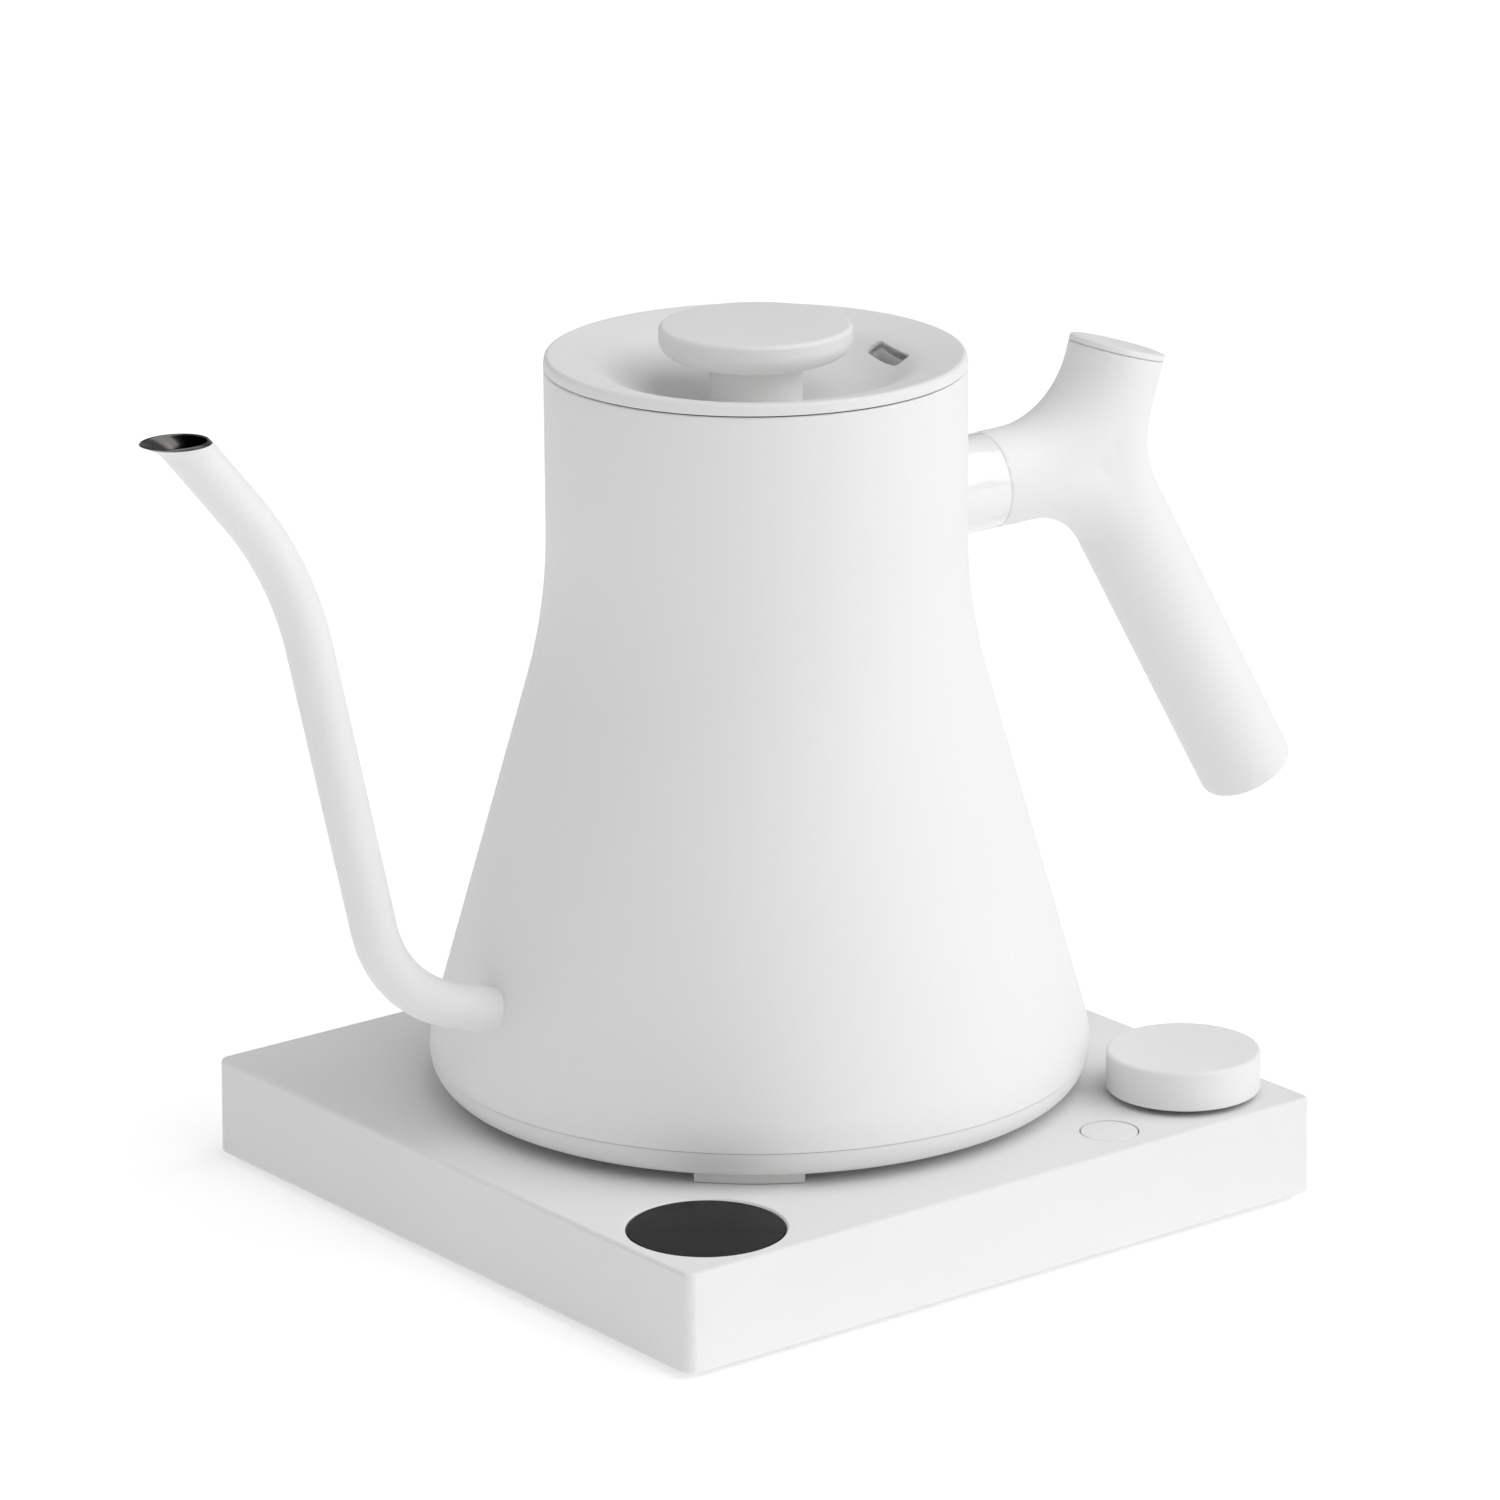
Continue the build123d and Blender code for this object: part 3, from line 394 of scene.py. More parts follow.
def finish(slot):
    """Material of one slot of the record."""
    tones = bpy.context.scene.kettle_finishes
    white = tones.moulded
    if slot == "board_green":
        return circuit_board("Circuit board")
    makers = {
        "body_white": lambda: skin(
            "Powder coat", tones.painted, 0.52, 0.00055, 0.000012, clouds=0.05, drift=0.015,
        ),
        "spout_white": lambda: skin(
            "Spout powder coat", tones.painted, 0.52, 0.0005, 0.000014, clouds=0.03, drift=0.015,
        ),
        "housing_white": lambda: skin("Housing plastic", white, 0.58, 0.0003, 0.000008, drift=0.02),
        "grip_white": lambda: skin("Grip plastic", tones.painted, 0.50, 0.00032, 0.000007, drift=0.015),
        "collar_white": lambda: skin(
            "Collar gloss", tones.collar, 0.16, 0.002, 0.000004, drift=0.01, coat=0.7,
        ),
        "lid_white": lambda: skin("Lid plastic", white, 0.55, 0.0003, 0.000008, drift=0.02),
        "dial_white": lambda: skin("Dial plastic", white, 0.55, 0.00028, 0.000008, drift=0.02),
        "plate_white": lambda: skin("Bottom plate plastic", (0.74, 0.74, 0.735), 0.6, 0.0005, 0.00002),
        "black_lens": lambda: skin(
            "Smoked lens", tones.lens, 0.22, 0.004, 0.000002, clouds=0.02, specular=0.05,
        ),
        "black_plastic": lambda: skin(
            "Black plastic", (0.025, 0.025, 0.027), 0.5, 0.0004, 0.00002, drift=0.15,
        ),
        "rubber_grey": lambda: skin(
            "Foot rubber", tones.rubber, 0.85, 0.0007, 0.00004, drift=0.1, specular=0.3,
        ),
        "silicone_white": lambda: skin("Silicone", tones.silicone, 0.6, 0.0008, 0.00002, specular=0.4),
        # Brushed steel takes the darkened steel tone, partly its own colour and partly painted shade of the
        # hollows it lines.
        "bare_steel": lambda: skin(
            "Brushed steel", tones.steel, 0.28, 0.00018, 0.000006, lines=True, metal=1.0, drift=0.1,
        ),
        # Very dark steel for the spout's bore and mouth rim: bare steel with painted shade for the inside
        # of the tube.
        "shaded_tube_steel": lambda: skin(
            "Tube steel", (0.11, 0.108, 0.105), 0.24, 0.00016, 0.000008, lines=True, metal=1.0, drift=0.2,
        ),
        "zinc_screw": lambda: skin(
            "Zinc plating", (0.60, 0.61, 0.62), 0.35, 0.0003, 0.00001, metal=1.0, drift=0.12, clouds=0.003,
        ),
        "aluminium_plate": lambda: skin(
            "Rolled aluminium", (0.72, 0.73, 0.74), 0.4, 0.0004, 0.00001, lines=True, metal=1.0,
        ),
        "brass_contact": lambda: skin(
            "Brass", (0.75, 0.56, 0.25), 0.3, 0.0002, 0.000006, lines=True, metal=1.0,
        ),
        "relay_blue": lambda: skin("Component case", (0.05, 0.12, 0.36), 0.3, 0.001, 0.00001, drift=0.1),
        "display_glass": lambda: skin(
            "Display module", (0.015, 0.016, 0.018), 0.12, 0.003, 0.000002, coat=0.6,
        ),
    }
    if slot not in makers:
        raise RuntimeError(f"no finish is written for slot {slot}")
    return makers[slot]()


SLOT_OF = {part["node"]: part["material_slot"] for part in frame["record"]["subparts"]}


# ------------------------------------------------------------------ mesh helpers
def turn_about_z(amount):
    return Matrix.Rotation(amount, 4, "Z")


def rounded(corners, steps=8):
    """Outline of (across, up, fillet) corners with arcs in place of the corners that have a fillet."""
    points = []
    count = len(corners)
    for index, (x, y, radius) in enumerate(corners):
        here = Vector((x, y))
        if radius <= 0:
            points.append(here)
            continue
        back = (Vector(corners[index - 1][:2]) - here).normalized()
        ahead = (Vector(corners[(index + 1) % count][:2]) - here).normalized()
        half = back.angle(ahead) / 2
        centre = here + (back + ahead).normalized() * radius / math.sin(half)
        start = here + back * radius / math.tan(half) - centre
        end = here + ahead * radius / math.tan(half) - centre
        sweep = start.angle_signed(end)
        for step in range(steps + 1):
            points.append(centre + Matrix.Rotation(-sweep * step / steps, 2) @ start)
    return points


def arc_through(first, middle, last, steps):
    """Points on the circle arc from first to last by way of middle."""
    (ax, ay), (bx, by), (cx, cy) = first, middle, last
    d = 2 * (ax * (by - cy) + bx * (cy - ay) + cx * (ay - by))
    a2, b2, c2 = ax * ax + ay * ay, bx * bx + by * by, cx * cx + cy * cy
    centre = Vector(
        (
            (a2 * (by - cy) + b2 * (cy - ay) + c2 * (ay - by)) / d,
            (a2 * (cx - bx) + b2 * (ax - cx) + c2 * (bx - ax)) / d,
        )
    )
    start, end = Vector(first) - centre, Vector(last) - centre
    sweep = start.angle_signed(end)
    return [centre + Matrix.Rotation(-sweep * step / steps, 2) @ start for step in range(steps + 1)]


def circle(radius, count, height):
    """Points of a level circle about Z."""
    ways = [2 * math.pi * k / count for k in range(count)]
    return [(radius * math.cos(way), radius * math.sin(way), height) for way in ways]


def spin(outline, steps, second_from=None, second_to=None):
    """Mesh data of a closed (radius, height) outline turned about Z; outline points from
    second_from up to second_to carry the second material."""
    area = sum(a.x * b.y - b.x * a.y for a, b in zip(outline, outline[1:] + outline[:1]))
    marks = [second_from is not None and second_from <= i < second_to for i in range(len(outline))]
    if area < 0:
        outline = outline[::-1]
        marks = marks[::-1][1:] + marks[::-1][:1]
    vertices, rings = [], []
    for point in outline:
        if point.x < 1e-7:
            rings.append([len(vertices)] * steps)
            vertices.append((0.0, 0.0, point.y))
            continue
        rings.append(list(range(len(vertices), len(vertices) + steps)))
        for step in range(steps):
            way = 2 * math.pi * step / steps
            vertices.append((point.x * math.cos(way), point.x * math.sin(way), point.y))
    faces, second = [], []
    for index, ring in enumerate(rings):
        above = rings[(index + 1) % len(rings)]
        for step in range(steps):
            after = (step + 1) % steps
            corners = list(dict.fromkeys([ring[step], ring[after], above[after], above[step]]))
            if len(corners) > 2:
                faces.append(corners)
                second.append(marks[index])
    return vertices, faces, second


def skin_rings(rings, close=True):
    """Mesh data of a tube through rings of equal counts, joined at the ends when close is set."""
    count = len(rings[0])
    vertices = [point for ring in rings for point in ring]
    faces = []
    last = len(rings) if close else len(rings) - 1
    for index in range(last):
        low, high = index * count, (index + 1) % len(rings) * count
        for step in range(count):
            after = (step + 1) % count
            faces.append([low + step, low + after, high + after, high + step])
    return vertices, faces


def mesh_piece(name, vertices, faces, second=None, matrix=None):
    """New object from mesh data, with smooth faces and crisp corners."""
    mesh = bpy.data.meshes.new(name)
    mesh.from_pydata([tuple(v) for v in vertices], [], faces)
    if second is not None:
        mesh.polygons.foreach_set("material_index", [1 if mark else 0 for mark in second])
    if matrix is not None:
        mesh.transform(matrix)
    crisp(mesh, 32)
    piece = bpy.data.objects.new(name, mesh)
    bpy.context.scene.collection.objects.link(piece)
    return piece


def crisp(mesh, degrees):
    mesh.polygons.foreach_set("use_smooth", [True] * len(mesh.polygons))
    mesh.set_sharp_from_angle(angle=math.radians(degrees))
    mesh.update()


def recalculate(piece):
    """Merge doubles and turn every face outwards."""
    work = bmesh.new()
    work.from_mesh(piece.data)
    bmesh.ops.remove_doubles(work, verts=work.verts, dist=1e-7)
    bmesh.ops.recalc_face_normals(work, faces=work.faces)
    work.to_mesh(piece.data)
    work.free()
    crisp(piece.data, 32)


def bake(piece, degrees=32):
    """Turn the piece's modifiers into plain mesh."""
    graph = bpy.context.evaluated_depsgraph_get()
    mesh = bpy.data.meshes.new_from_object(
        piece.evaluated_get(graph), preserve_all_data_layers=True, depsgraph=graph,
    )
    piece.modifiers.clear()
    old = piece.data
    piece.data = mesh
    mesh.name = piece.name
    bpy.data.meshes.remove(old)
    crisp(mesh, degrees)
    return piece


def cut(piece, cutter):
    """Take the cutter's volume away from the piece."""
    step = piece.modifiers.new("Cut", "BOOLEAN")
    step.operation, step.solver, step.object = "DIFFERENCE", "EXACT", cutter
    bake(piece)
    bpy.data.objects.remove(cutter)
    return piece


def merged_copy(node, name, degrees=28):
    """Joined-up copy of a CAD node's loose triangles."""
    source = frame["nodes"][node].data
    mesh = bpy.data.meshes.new(name)
    mesh.from_pydata(
        [v.co.copy() for v in source.vertices], [], [list(p.vertices) for p in source.polygons]
    )
    work = bmesh.new()
    work.from_mesh(mesh)
    bmesh.ops.remove_doubles(work, verts=work.verts, dist=2e-6)
    bmesh.ops.dissolve_degenerate(work, edges=work.edges, dist=1e-7)
    work.to_mesh(mesh)
    work.free()
    crisp(mesh, degrees)
    piece = bpy.data.objects.new(name, mesh)
    bpy.context.scene.collection.objects.link(piece)
    weigh = piece.modifiers.new("Even corners", "WEIGHTED_NORMAL")
    weigh.keep_sharp = True
    graph = bpy.context.evaluated_depsgraph_get()
    piece.data = bpy.data.meshes.new_from_object(
        piece.evaluated_get(graph), preserve_all_data_layers=True, depsgraph=graph,
    )
    piece.modifiers.clear()
    return piece


def settle(piece, body, nodes, slots):
    """Give a finished piece its materials and its body, and hide the CAD nodes that it stands for."""
    places = [0] * len(piece.data.polygons)
    piece.data.polygons.foreach_get("material_index", places)
    piece.data.materials.clear()
    for slot in slots:
        piece.data.materials.append(finish(slot))
    piece.data.polygons.foreach_set("material_index", [min(place, len(slots) - 1) for place in places])
    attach(piece, body)
    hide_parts(*nodes)
    return piece


# ------------------------------------------------------------------ repeated pieces
def ring_tree():
    """Geometry nodes: copies of a piece turned about Z at even steps."""
    if "Ring of pieces" in bpy.data.node_groups:
        return bpy.data.node_groups["Ring of pieces"]
    wiring, given, out = new_group(
        "Ring of pieces",
        "GeometryNodeTree",
        [
            ("Geometry", "NodeSocketGeometry", None),
            ("Count", "NodeSocketInt", 3),
            ("First angle", "NodeSocketFloat", 0.0),
            ("Material", "NodeSocketMaterial", None),
        ],
        [("Geometry", "NodeSocketGeometry")],
    )
    points = wiring.add("GeometryNodePoints", {"Count": given.outputs["Count"]})
    index = wiring.add("GeometryNodeInputIndex")
    step = wiring.maths("DIVIDE", 2 * math.pi, given.outputs["Count"])
    turned = wiring.maths("MULTIPLY_ADD", index.outputs[0], step)
    wiring.feed(turned.node.inputs[2], given.outputs["First angle"])
    spun = wiring.add("ShaderNodeCombineXYZ", {"Z": turned})
    copies = wiring.add(
        "GeometryNodeInstanceOnPoints",
        {"Points": points.outputs[0], "Instance": given.outputs["Geometry"], "Rotation": spun.outputs[0]},
    )
    real = wiring.add("GeometryNodeRealizeInstances", {"Geometry": copies.outputs[0]})
    painted = wiring.add(
        "GeometryNodeSetMaterial", {"Geometry": real.outputs[0], "Material": given.outputs["Material"]},
    )
    wiring.feed(out.inputs["Geometry"], painted.outputs[0])
    return wiring.tree


def spots_tree():
    """Geometry nodes: a piece on every vertex of a guide, each with its own turn."""
    if "Pieces on spots" in bpy.data.node_groups:
        return bpy.data.node_groups["Pieces on spots"]
    wiring, given, out = new_group(
        "Pieces on spots",
        "GeometryNodeTree",
        [
            ("Geometry", "NodeSocketGeometry", None),
            ("Piece", "NodeSocketObject", None),
            ("Seed", "NodeSocketInt", 7),
            ("Material", "NodeSocketMaterial", None),
        ],
        [("Geometry", "NodeSocketGeometry")],
    )
    source = wiring.add("GeometryNodeObjectInfo", {"Object": given.outputs["Piece"]})
    chance = wiring.add("FunctionNodeRandomValue", {"Seed": given.outputs["Seed"]}, data_type="FLOAT")
    chance.inputs[3].default_value = math.pi / 2
    spun = wiring.add("ShaderNodeCombineXYZ", {"Z": chance.outputs[1]})
    copies = wiring.add(
        "GeometryNodeInstanceOnPoints",
        {
            "Points": given.outputs["Geometry"], "Instance": source.outputs["Geometry"],
            "Rotation": spun.outputs[0],
        },
    )
    real = wiring.add("GeometryNodeRealizeInstances", {"Geometry": copies.outputs[0]})
    painted = wiring.add(
        "GeometryNodeSetMaterial", {"Geometry": real.outputs[0], "Material": given.outputs["Material"]},
    )
    wiring.feed(out.inputs["Geometry"], painted.outputs[0])
    return wiring.tree


def run_tree(piece, tree, values):
    """Run a geometry tree on a piece with named inputs, and keep the result as plain mesh."""
    step = piece.modifiers.new(tree.name, "NODES")
    step.node_group = tree
    keys = {
        item.name: item.identifier
        for item in tree.interface.items_tree if item.item_type == "SOCKET" and item.in_out == "INPUT"
    }
    for name, value in values.items():
        step[keys[name]] = value
    return bake(piece)


def ring_of(piece, count, first, slot):
    return run_tree(piece, ring_tree(), {"Count": count, "First angle": first, "Material": finish(slot)})


def on_spots(name, piece, spots, seed, slot):
    guide = mesh_piece(name, spots, [])
    run_tree(guide, spots_tree(), {"Piece": piece, "Seed": seed, "Material": finish(slot)})
    bpy.data.objects.remove(piece)
    return guide


def cross_screw(name, head_radius, head_low, head_high, shank_radius, tip, downwards=True):
    """Screw on the Z axis with a rounded head and a cross recess."""
    side = 1 if downwards else -1
    low, high, end = side * head_low, side * head_high, side * tip
    soft = min(0.0002, head_radius * 0.1)
    work = bmesh.new()
    flats = 24
    rings = [
        (head_radius - soft, low), (head_radius, low + side * soft), (head_radius, high),
        (shank_radius, high), (shank_radius, end - side * shank_radius * 0.5), (shank_radius * 0.5, end),
    ]
    loops = []
    for radius, height in rings:
        loops.append([work.verts.new(point) for point in circle(radius, flats, height)])
    for lower, upper in zip(loops, loops[1:]):
        for k in range(flats):
            work.faces.new((lower[k], lower[(k + 1) % flats], upper[(k + 1) % flats], upper[k]))
    work.faces.new(loops[-1])
    arm, half = head_radius * 0.55, head_radius * 0.1
    cross = [
        (arm, -half), (arm, half), (half, half), (half, arm), (-half, arm), (-half, half), (-arm, half),
        (-arm, -half), (-half, -half), (-half, -arm), (half, -arm), (half, -half),
    ]
    deep = low + (high - low) * 0.45
    top_loop = [work.verts.new((x, y, low)) for x, y in cross]
    low_loop = [work.verts.new((x * 0.8, y * 0.8, deep)) for x, y in cross]
    for k in range(len(cross)):
        work.faces.new(
            (top_loop[k], top_loop[(k + 1) % len(cross)], low_loop[(k + 1) % len(cross)], low_loop[k])
        )
    work.faces.new(low_loop)
    rim = [work.edges.get((loops[0][k], loops[0][(k + 1) % flats])) for k in range(flats)]
    rim += [work.edges.get((top_loop[k], top_loop[(k + 1) % len(cross)])) for k in range(len(cross))]
    bmesh.ops.triangle_fill(work, edges=rim, use_beauty=True)
    bmesh.ops.recalc_face_normals(work, faces=work.faces)
    mesh = bpy.data.meshes.new(name)
    work.to_mesh(mesh)
    work.free()
    crisp(mesh, 35)
    piece = bpy.data.objects.new(name, mesh)
    bpy.context.scene.collection.objects.link(piece)
    return piece


# ------------------------------------------------------------------ kettle body and ring
def body_outline(sizes, inset, steps):
    """Points up the body's side, from hem to neck, moved inwards by inset."""
    lean = math.atan(sizes.cone_slope)
    neck = sizes.neck_radius - inset
    hollow = sizes.shoulder_radius + inset
    hem = sizes.hem_radius - inset
    hem_x = BODY_HIGH.x - sizes.hem_radius
    points = [
        Vector((hem_x + hem * math.cos(lean * k / 12), BODY_LOW.z + hem * math.sin(lean * k / 12)))
        for k in range(13)
    ]
    top = Vector((neck + hollow - hollow * math.cos(lean), sizes.shoulder_top - hollow * math.sin(lean)))
    bottom = points[-1]
    points += [bottom.lerp(top, k / steps) for k in range(1, steps)]
    points += [
        Vector(
            (
                neck + hollow - hollow * math.cos(lean * k / 20),
                sizes.shoulder_top - hollow * math.sin(lean * k / 20),
            )
        )
        for k in range(20, -1, -1)
    ]
    return points


def body_radius(sizes, height):
    """Outer radius of the body at a height."""
    points = body_outline(sizes, 0.0, 30)
    for low, high in zip(points, points[1:]):
        if low.y <= height <= high.y:
            return low.x + (high.x - low.x) * (height - low.y) / (high.y - low.y)
    return sizes.neck_radius


class KETTLE_OT_body(bpy.types.Operator):
    """Spin the steel body with its rolled upper edge and the hole for the spout"""

    bl_idname = "kettle.body"
    bl_label = "Kettle body"

    def execute(self, context):
        sizes = context.scene.kettle_body_sizes
        spout = context.scene.kettle_spout_sizes
        outer = body_outline(sizes, 0.0, 30)
        inner = body_outline(sizes, sizes.wall, 30)
        neck, top = sizes.neck_radius, BODY_HIGH.z
        middle = neck - sizes.wall / 2
        rim = [
            Vector(
                (
                    middle + math.cos(math.pi * k / 8) * sizes.wall / 2,
                    top - sizes.wall / 2 * (1 - math.sin(math.pi * k / 8)),
                )
            )
            for k in range(9)
        ]
        outline = outer + rim + inner[::-1]
        body = mesh_piece("body_shell", *spin(outline, sizes.steps, len(outer) + 7, len(outline)))
        out, up = spout.root
        rise = math.atan2(spout.elbow[1] - up, spout.elbow[0] - out)
        cutter = mesh_piece("spout_drill", *straight_bar(spout.bore, 48, 0.02))
        aim = turn_about_z(sizes.turn) @ Matrix.Translation((-out, 0, up)) @ Matrix.Rotation(
            -math.pi / 2 + rise, 4, "Y",
        )
        cutter.data.transform(aim)
        cut(body, cutter)
        settle(body, "kettle", ["kettle_body"], ["body_white", "bare_steel"])
        return {"FINISHED"}


def straight_bar(radius, count, reach):
    """Mesh data of a straight round bar along Z through the origin."""
    vertices, faces = skin_rings([circle(radius, count, -reach), circle(radius, count, reach)], close=False)
    faces += [list(range(count))[::-1], list(range(count, 2 * count))]
    return vertices, faces


class KETTLE_OT_base_ring(bpy.types.Operator):
    """Spin the moulded ring under the body and set its three pads round it"""

    bl_idname = "kettle.base_ring"
    bl_label = "Ring and pads"

    def execute(self, context):
        sizes = context.scene.kettle_body_sizes
        low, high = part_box("kettle_base_ring")
        edge = BODY_HIGH.x - 0.00015
        bulge = 0.0072
        side = arc_through(
            (edge, BODY_LOW.z),
            (
                edge - bulge * (1 - math.cos(math.radians(30))),
                BODY_LOW.z - bulge * math.sin(math.radians(30)),
            ),
            (0.0689, low.z),
            16,
        )
        inside = [
            Vector(p)
            for p in (
                (0.057, low.z), (0.057, 0.0283), (0.0686, 0.0283), (0.0686, high.z), (0.0704, high.z),
                (0.0704, BODY_LOW.z),
            )
        ]
        outline = [Vector((edge - 0.0002, BODY_LOW.z))] + [Vector((edge, BODY_LOW.z - 0.0002))]
        outline += [point for point in side if point.y < BODY_LOW.z - 0.0004 and point.y > low.z + 0.0004]
        outline += [Vector((0.0690, low.z + 0.00025)), Vector((0.0686, low.z))] + inside
        ring = mesh_piece("base_ring", *spin(outline, sizes.steps))
        settle(ring, "kettle", ["kettle_base_ring"], ["housing_white"])
        pad = pad_piece(0.061, 0.0678, HOUSING_TOP, low.z + 0.0008, math.radians(10))
        pads = ring_of(pad, 3, math.radians(-124) + sizes.turn, "silicone_white")
        pads.name = "ring_pads"
        settle(pads, "kettle", ["kettle_pad_1", "kettle_pad_2", "kettle_pad_3"], ["silicone_white"])
        return {"FINISHED"}


def pad_piece(near, far, low, high, half):
    """Curved pad across the +X axis with soft lower edges and rounded ends."""
    soft = 0.0006
    section = [(near, high), (near, low + soft), (near + soft * 0.3, low + soft * 0.3), (near + soft, low)]
    section += [(far - soft, low), (far - soft * 0.3, low + soft * 0.3), (far, low + soft), (far, high)]
    rings = []
    for step in range(25):
        way = -half + 2 * half * step / 24
        rings.append([(r * math.cos(way), r * math.sin(way), z) for r, z in section])
    vertices, faces = skin_rings(rings, close=False)
    count = len(section)
    faces += [list(range(count)), list(range(24 * count, 25 * count))[::-1]]
    piece = mesh_piece("pad", vertices, faces)
    recalculate(piece)
    return piece


# ------------------------------------------------------------------ spout
def spout_line(sizes, pitch=0.0012):
    """Centre line of the spout as (out, up) points, and the direction at each of them."""
    root, elbow, bend = Vector(sizes.root), Vector(sizes.elbow), Vector(sizes.bend)
    tip = bend + Vector((math.sin(sizes.lean), math.cos(sizes.lean))) * 0.06
    points = [root - (elbow - root).normalized() * 0.004]
    for before, corner, after, radius in (
        (root, elbow, bend, sizes.elbow_radius), (elbow, bend, tip, sizes.bend_radius),
    ):
        back, ahead = (before - corner).normalized(), (after - corner).normalized()
        half = back.angle(ahead) / 2
        reach = radius / math.tan(half)
        centre = corner + (back + ahead).normalized() * radius / math.sin(half)
        start, end = corner + back * reach - centre, corner + ahead * reach - centre
        sweep = start.angle_signed(end)
        steps = max(8, int(abs(sweep) * radius / pitch))
        points += [centre + Matrix.Rotation(-sweep * k / steps, 2) @ start for k in range(steps + 1)]
    points.append(tip)
    full = []
    for first, second in zip(points, points[1:]):
        steps = max(1, round((second - first).length / pitch))
        full += [first.lerp(second, k / steps) for k in range(steps)]
    full.append(tip)
    ways = [(b - a).normalized() for a, b in zip(full, full[1:])]
    ways.append(ways[-1])
    return full, ways


class KETTLE_OT_spout(bpy.types.Operator):
    """Sweep the powder-coated tube of the spout, with its level, flared mouth of bare steel; the bore and
    mouth are very dark steel, as painted shade inside the tube
    """

    bl_idname = "kettle.spout"
    bl_label = "Spout"

    def execute(self, context):
        sizes = context.scene.kettle_spout_sizes
        body = context.scene.kettle_body_sizes
        outside = self.wall_rings(sizes, body, sizes.radius, 0.0)
        inside = self.wall_rings(sizes, body, sizes.bore, sizes.radius - sizes.bore)
        rim_out, rim_in = outside[-1], inside[-1]
        crown = []
        for share, lift in ((0.2, 0.00016), (0.5, 0.00024), (0.8, 0.00016)):
            crown.append([a.lerp(b, share) + Vector((0, 0, lift)) for a, b in zip(rim_out, rim_in)])
        rings = outside + crown + inside[::-1]
        vertices, faces = skin_rings(rings)
        painted_up_to = sizes.lip_top - sizes.paint_edge
        bare = []
        for index in range(len(rings)):
            for step in range(len(rings[0])):
                high = rings[(index + 1) % len(rings)][step].z
                bare.append(index >= len(outside) or high > painted_up_to)
        # Bore and mouth faces take the very dark steel, which is bare steel with painted shade inside the
        # tube.
        tube = mesh_piece("spout_tube", vertices, faces, bare, turn_about_z(body.turn))
        recalculate(tube)
        settle(tube, "kettle", ["spout"], ["spout_white", "shaded_tube_steel"])
        return {"FINISHED"}

    def wall_rings(self, sizes, body, radius, inset):
        """Rings of one wall of the tube, from the body to the mouth."""
        line, ways = spout_line(sizes)
        flats = 96
        rings = []
        levels = 12
        straight = sizes.lip_low - radius * 1.2
        for centre, way in zip(line, ways):
            if centre.y > straight:
                break
            rings.append(
                [self.on_tube(centre, way, radius, 2 * math.pi * k / flats, 0.0) for k in range(flats)]
            )
        first = rings[0]
        for k, point in enumerate(first):
            way = ways[0]
            along = Vector((-way.x, 0, way.y))
            moved = point.copy()
            for _ in range(12):
                away = math.hypot(moved.x, moved.y)
                moved += along * (body_radius(body, moved.z) - 0.0005 - away) * 0.9
            first[k] = moved
        clear_of_body = min(p.x for p in first) - 0.0002
        rings = [first] + [ring for ring in rings[1:] if max(p.x for p in ring) < clear_of_body]
        lean = sizes.lean
        bend = Vector(sizes.bend)
        begin = straight + 0.0006
        for level in range(levels + 1):
            share = level / levels
            height = begin + (sizes.lip_low - begin) * share
            centre = Vector((bend.x + (height - bend.y) * math.tan(lean), height))
            rings.append(
                [
                    self.on_tube(
                        centre, Vector((math.sin(lean), math.cos(lean))), radius, 2 * math.pi * k / flats,
                        share,
                    )
                    for k in range(flats)
                ]
            )
        far, near = sizes.lip_far - inset, sizes.lip_near + inset
        half_width = sizes.lip_half - inset
        low_half = radius / math.cos(lean)
        low_centre = bend.x + (sizes.lip_low - bend.y) * math.tan(lean)
        for level in range(1, levels + 1):
            share = level / levels
            flare = share ** 1.6
            height = sizes.lip_low + (sizes.lip_top - 0.0002 - sizes.lip_low) * share
            steady = low_centre + (height - sizes.lip_low) * math.tan(lean)
            aim = low_centre + ((far + near) / 2 - low_centre) * share
            centre = steady + (aim - steady) * share
            across = low_half + ((far - near) / 2 - low_half) * flare
            wide = radius + (half_width - radius) * flare
            rings.append([
                Vector(
                    (
                        -(centre + across * math.cos(2 * math.pi * k / flats)),
                        wide * math.sin(2 * math.pi * k / flats), height,
                    )
                )
                for k in range(flats)
            ])
        return rings

    def on_tube(self, centre, way, radius, spot, level):
        """Point of the tube's wall on a plane that turns from square across the tube to level."""
        side = Vector((way.y, -way.x))
        cosine, sine = radius * math.cos(spot), radius * math.sin(spot)
        flat = side * cosine
        plane = (way * (1 - level) + Vector((0.0, 1.0)) * level).normalized()
        slide = -flat.dot(plane) / way.dot(plane)
        place = centre + flat + way * slide
        return Vector((-place.x, sine, place.y))


# ------------------------------------------------------------------ handle
def handle_frame(sizes, body, reach):
    """Matrix with Z along the stub, at a distance from the kettle's axis."""
    up = sizes.node[1] + (reach - sizes.node[0]) * math.tan(sizes.stub_tilt)
    return turn_about_z(body.turn) @ Matrix.Translation((reach, 0, up)) @ Matrix.Rotation(
        math.pi / 2 - sizes.stub_tilt, 4, "Y",
    )


def arm_frame(sizes, body, length_along):
    """Matrix with Z along the upper arm, at a distance from the node."""
    out = sizes.node[0] + math.sin(sizes.arm_lean) * length_along
    up = sizes.node[1] + math.cos(sizes.arm_lean) * length_along
    return turn_about_z(body.turn) @ Matrix.Translation((out, 0, up)) @ Matrix.Rotation(
        sizes.arm_lean, 4, "Y",
    )


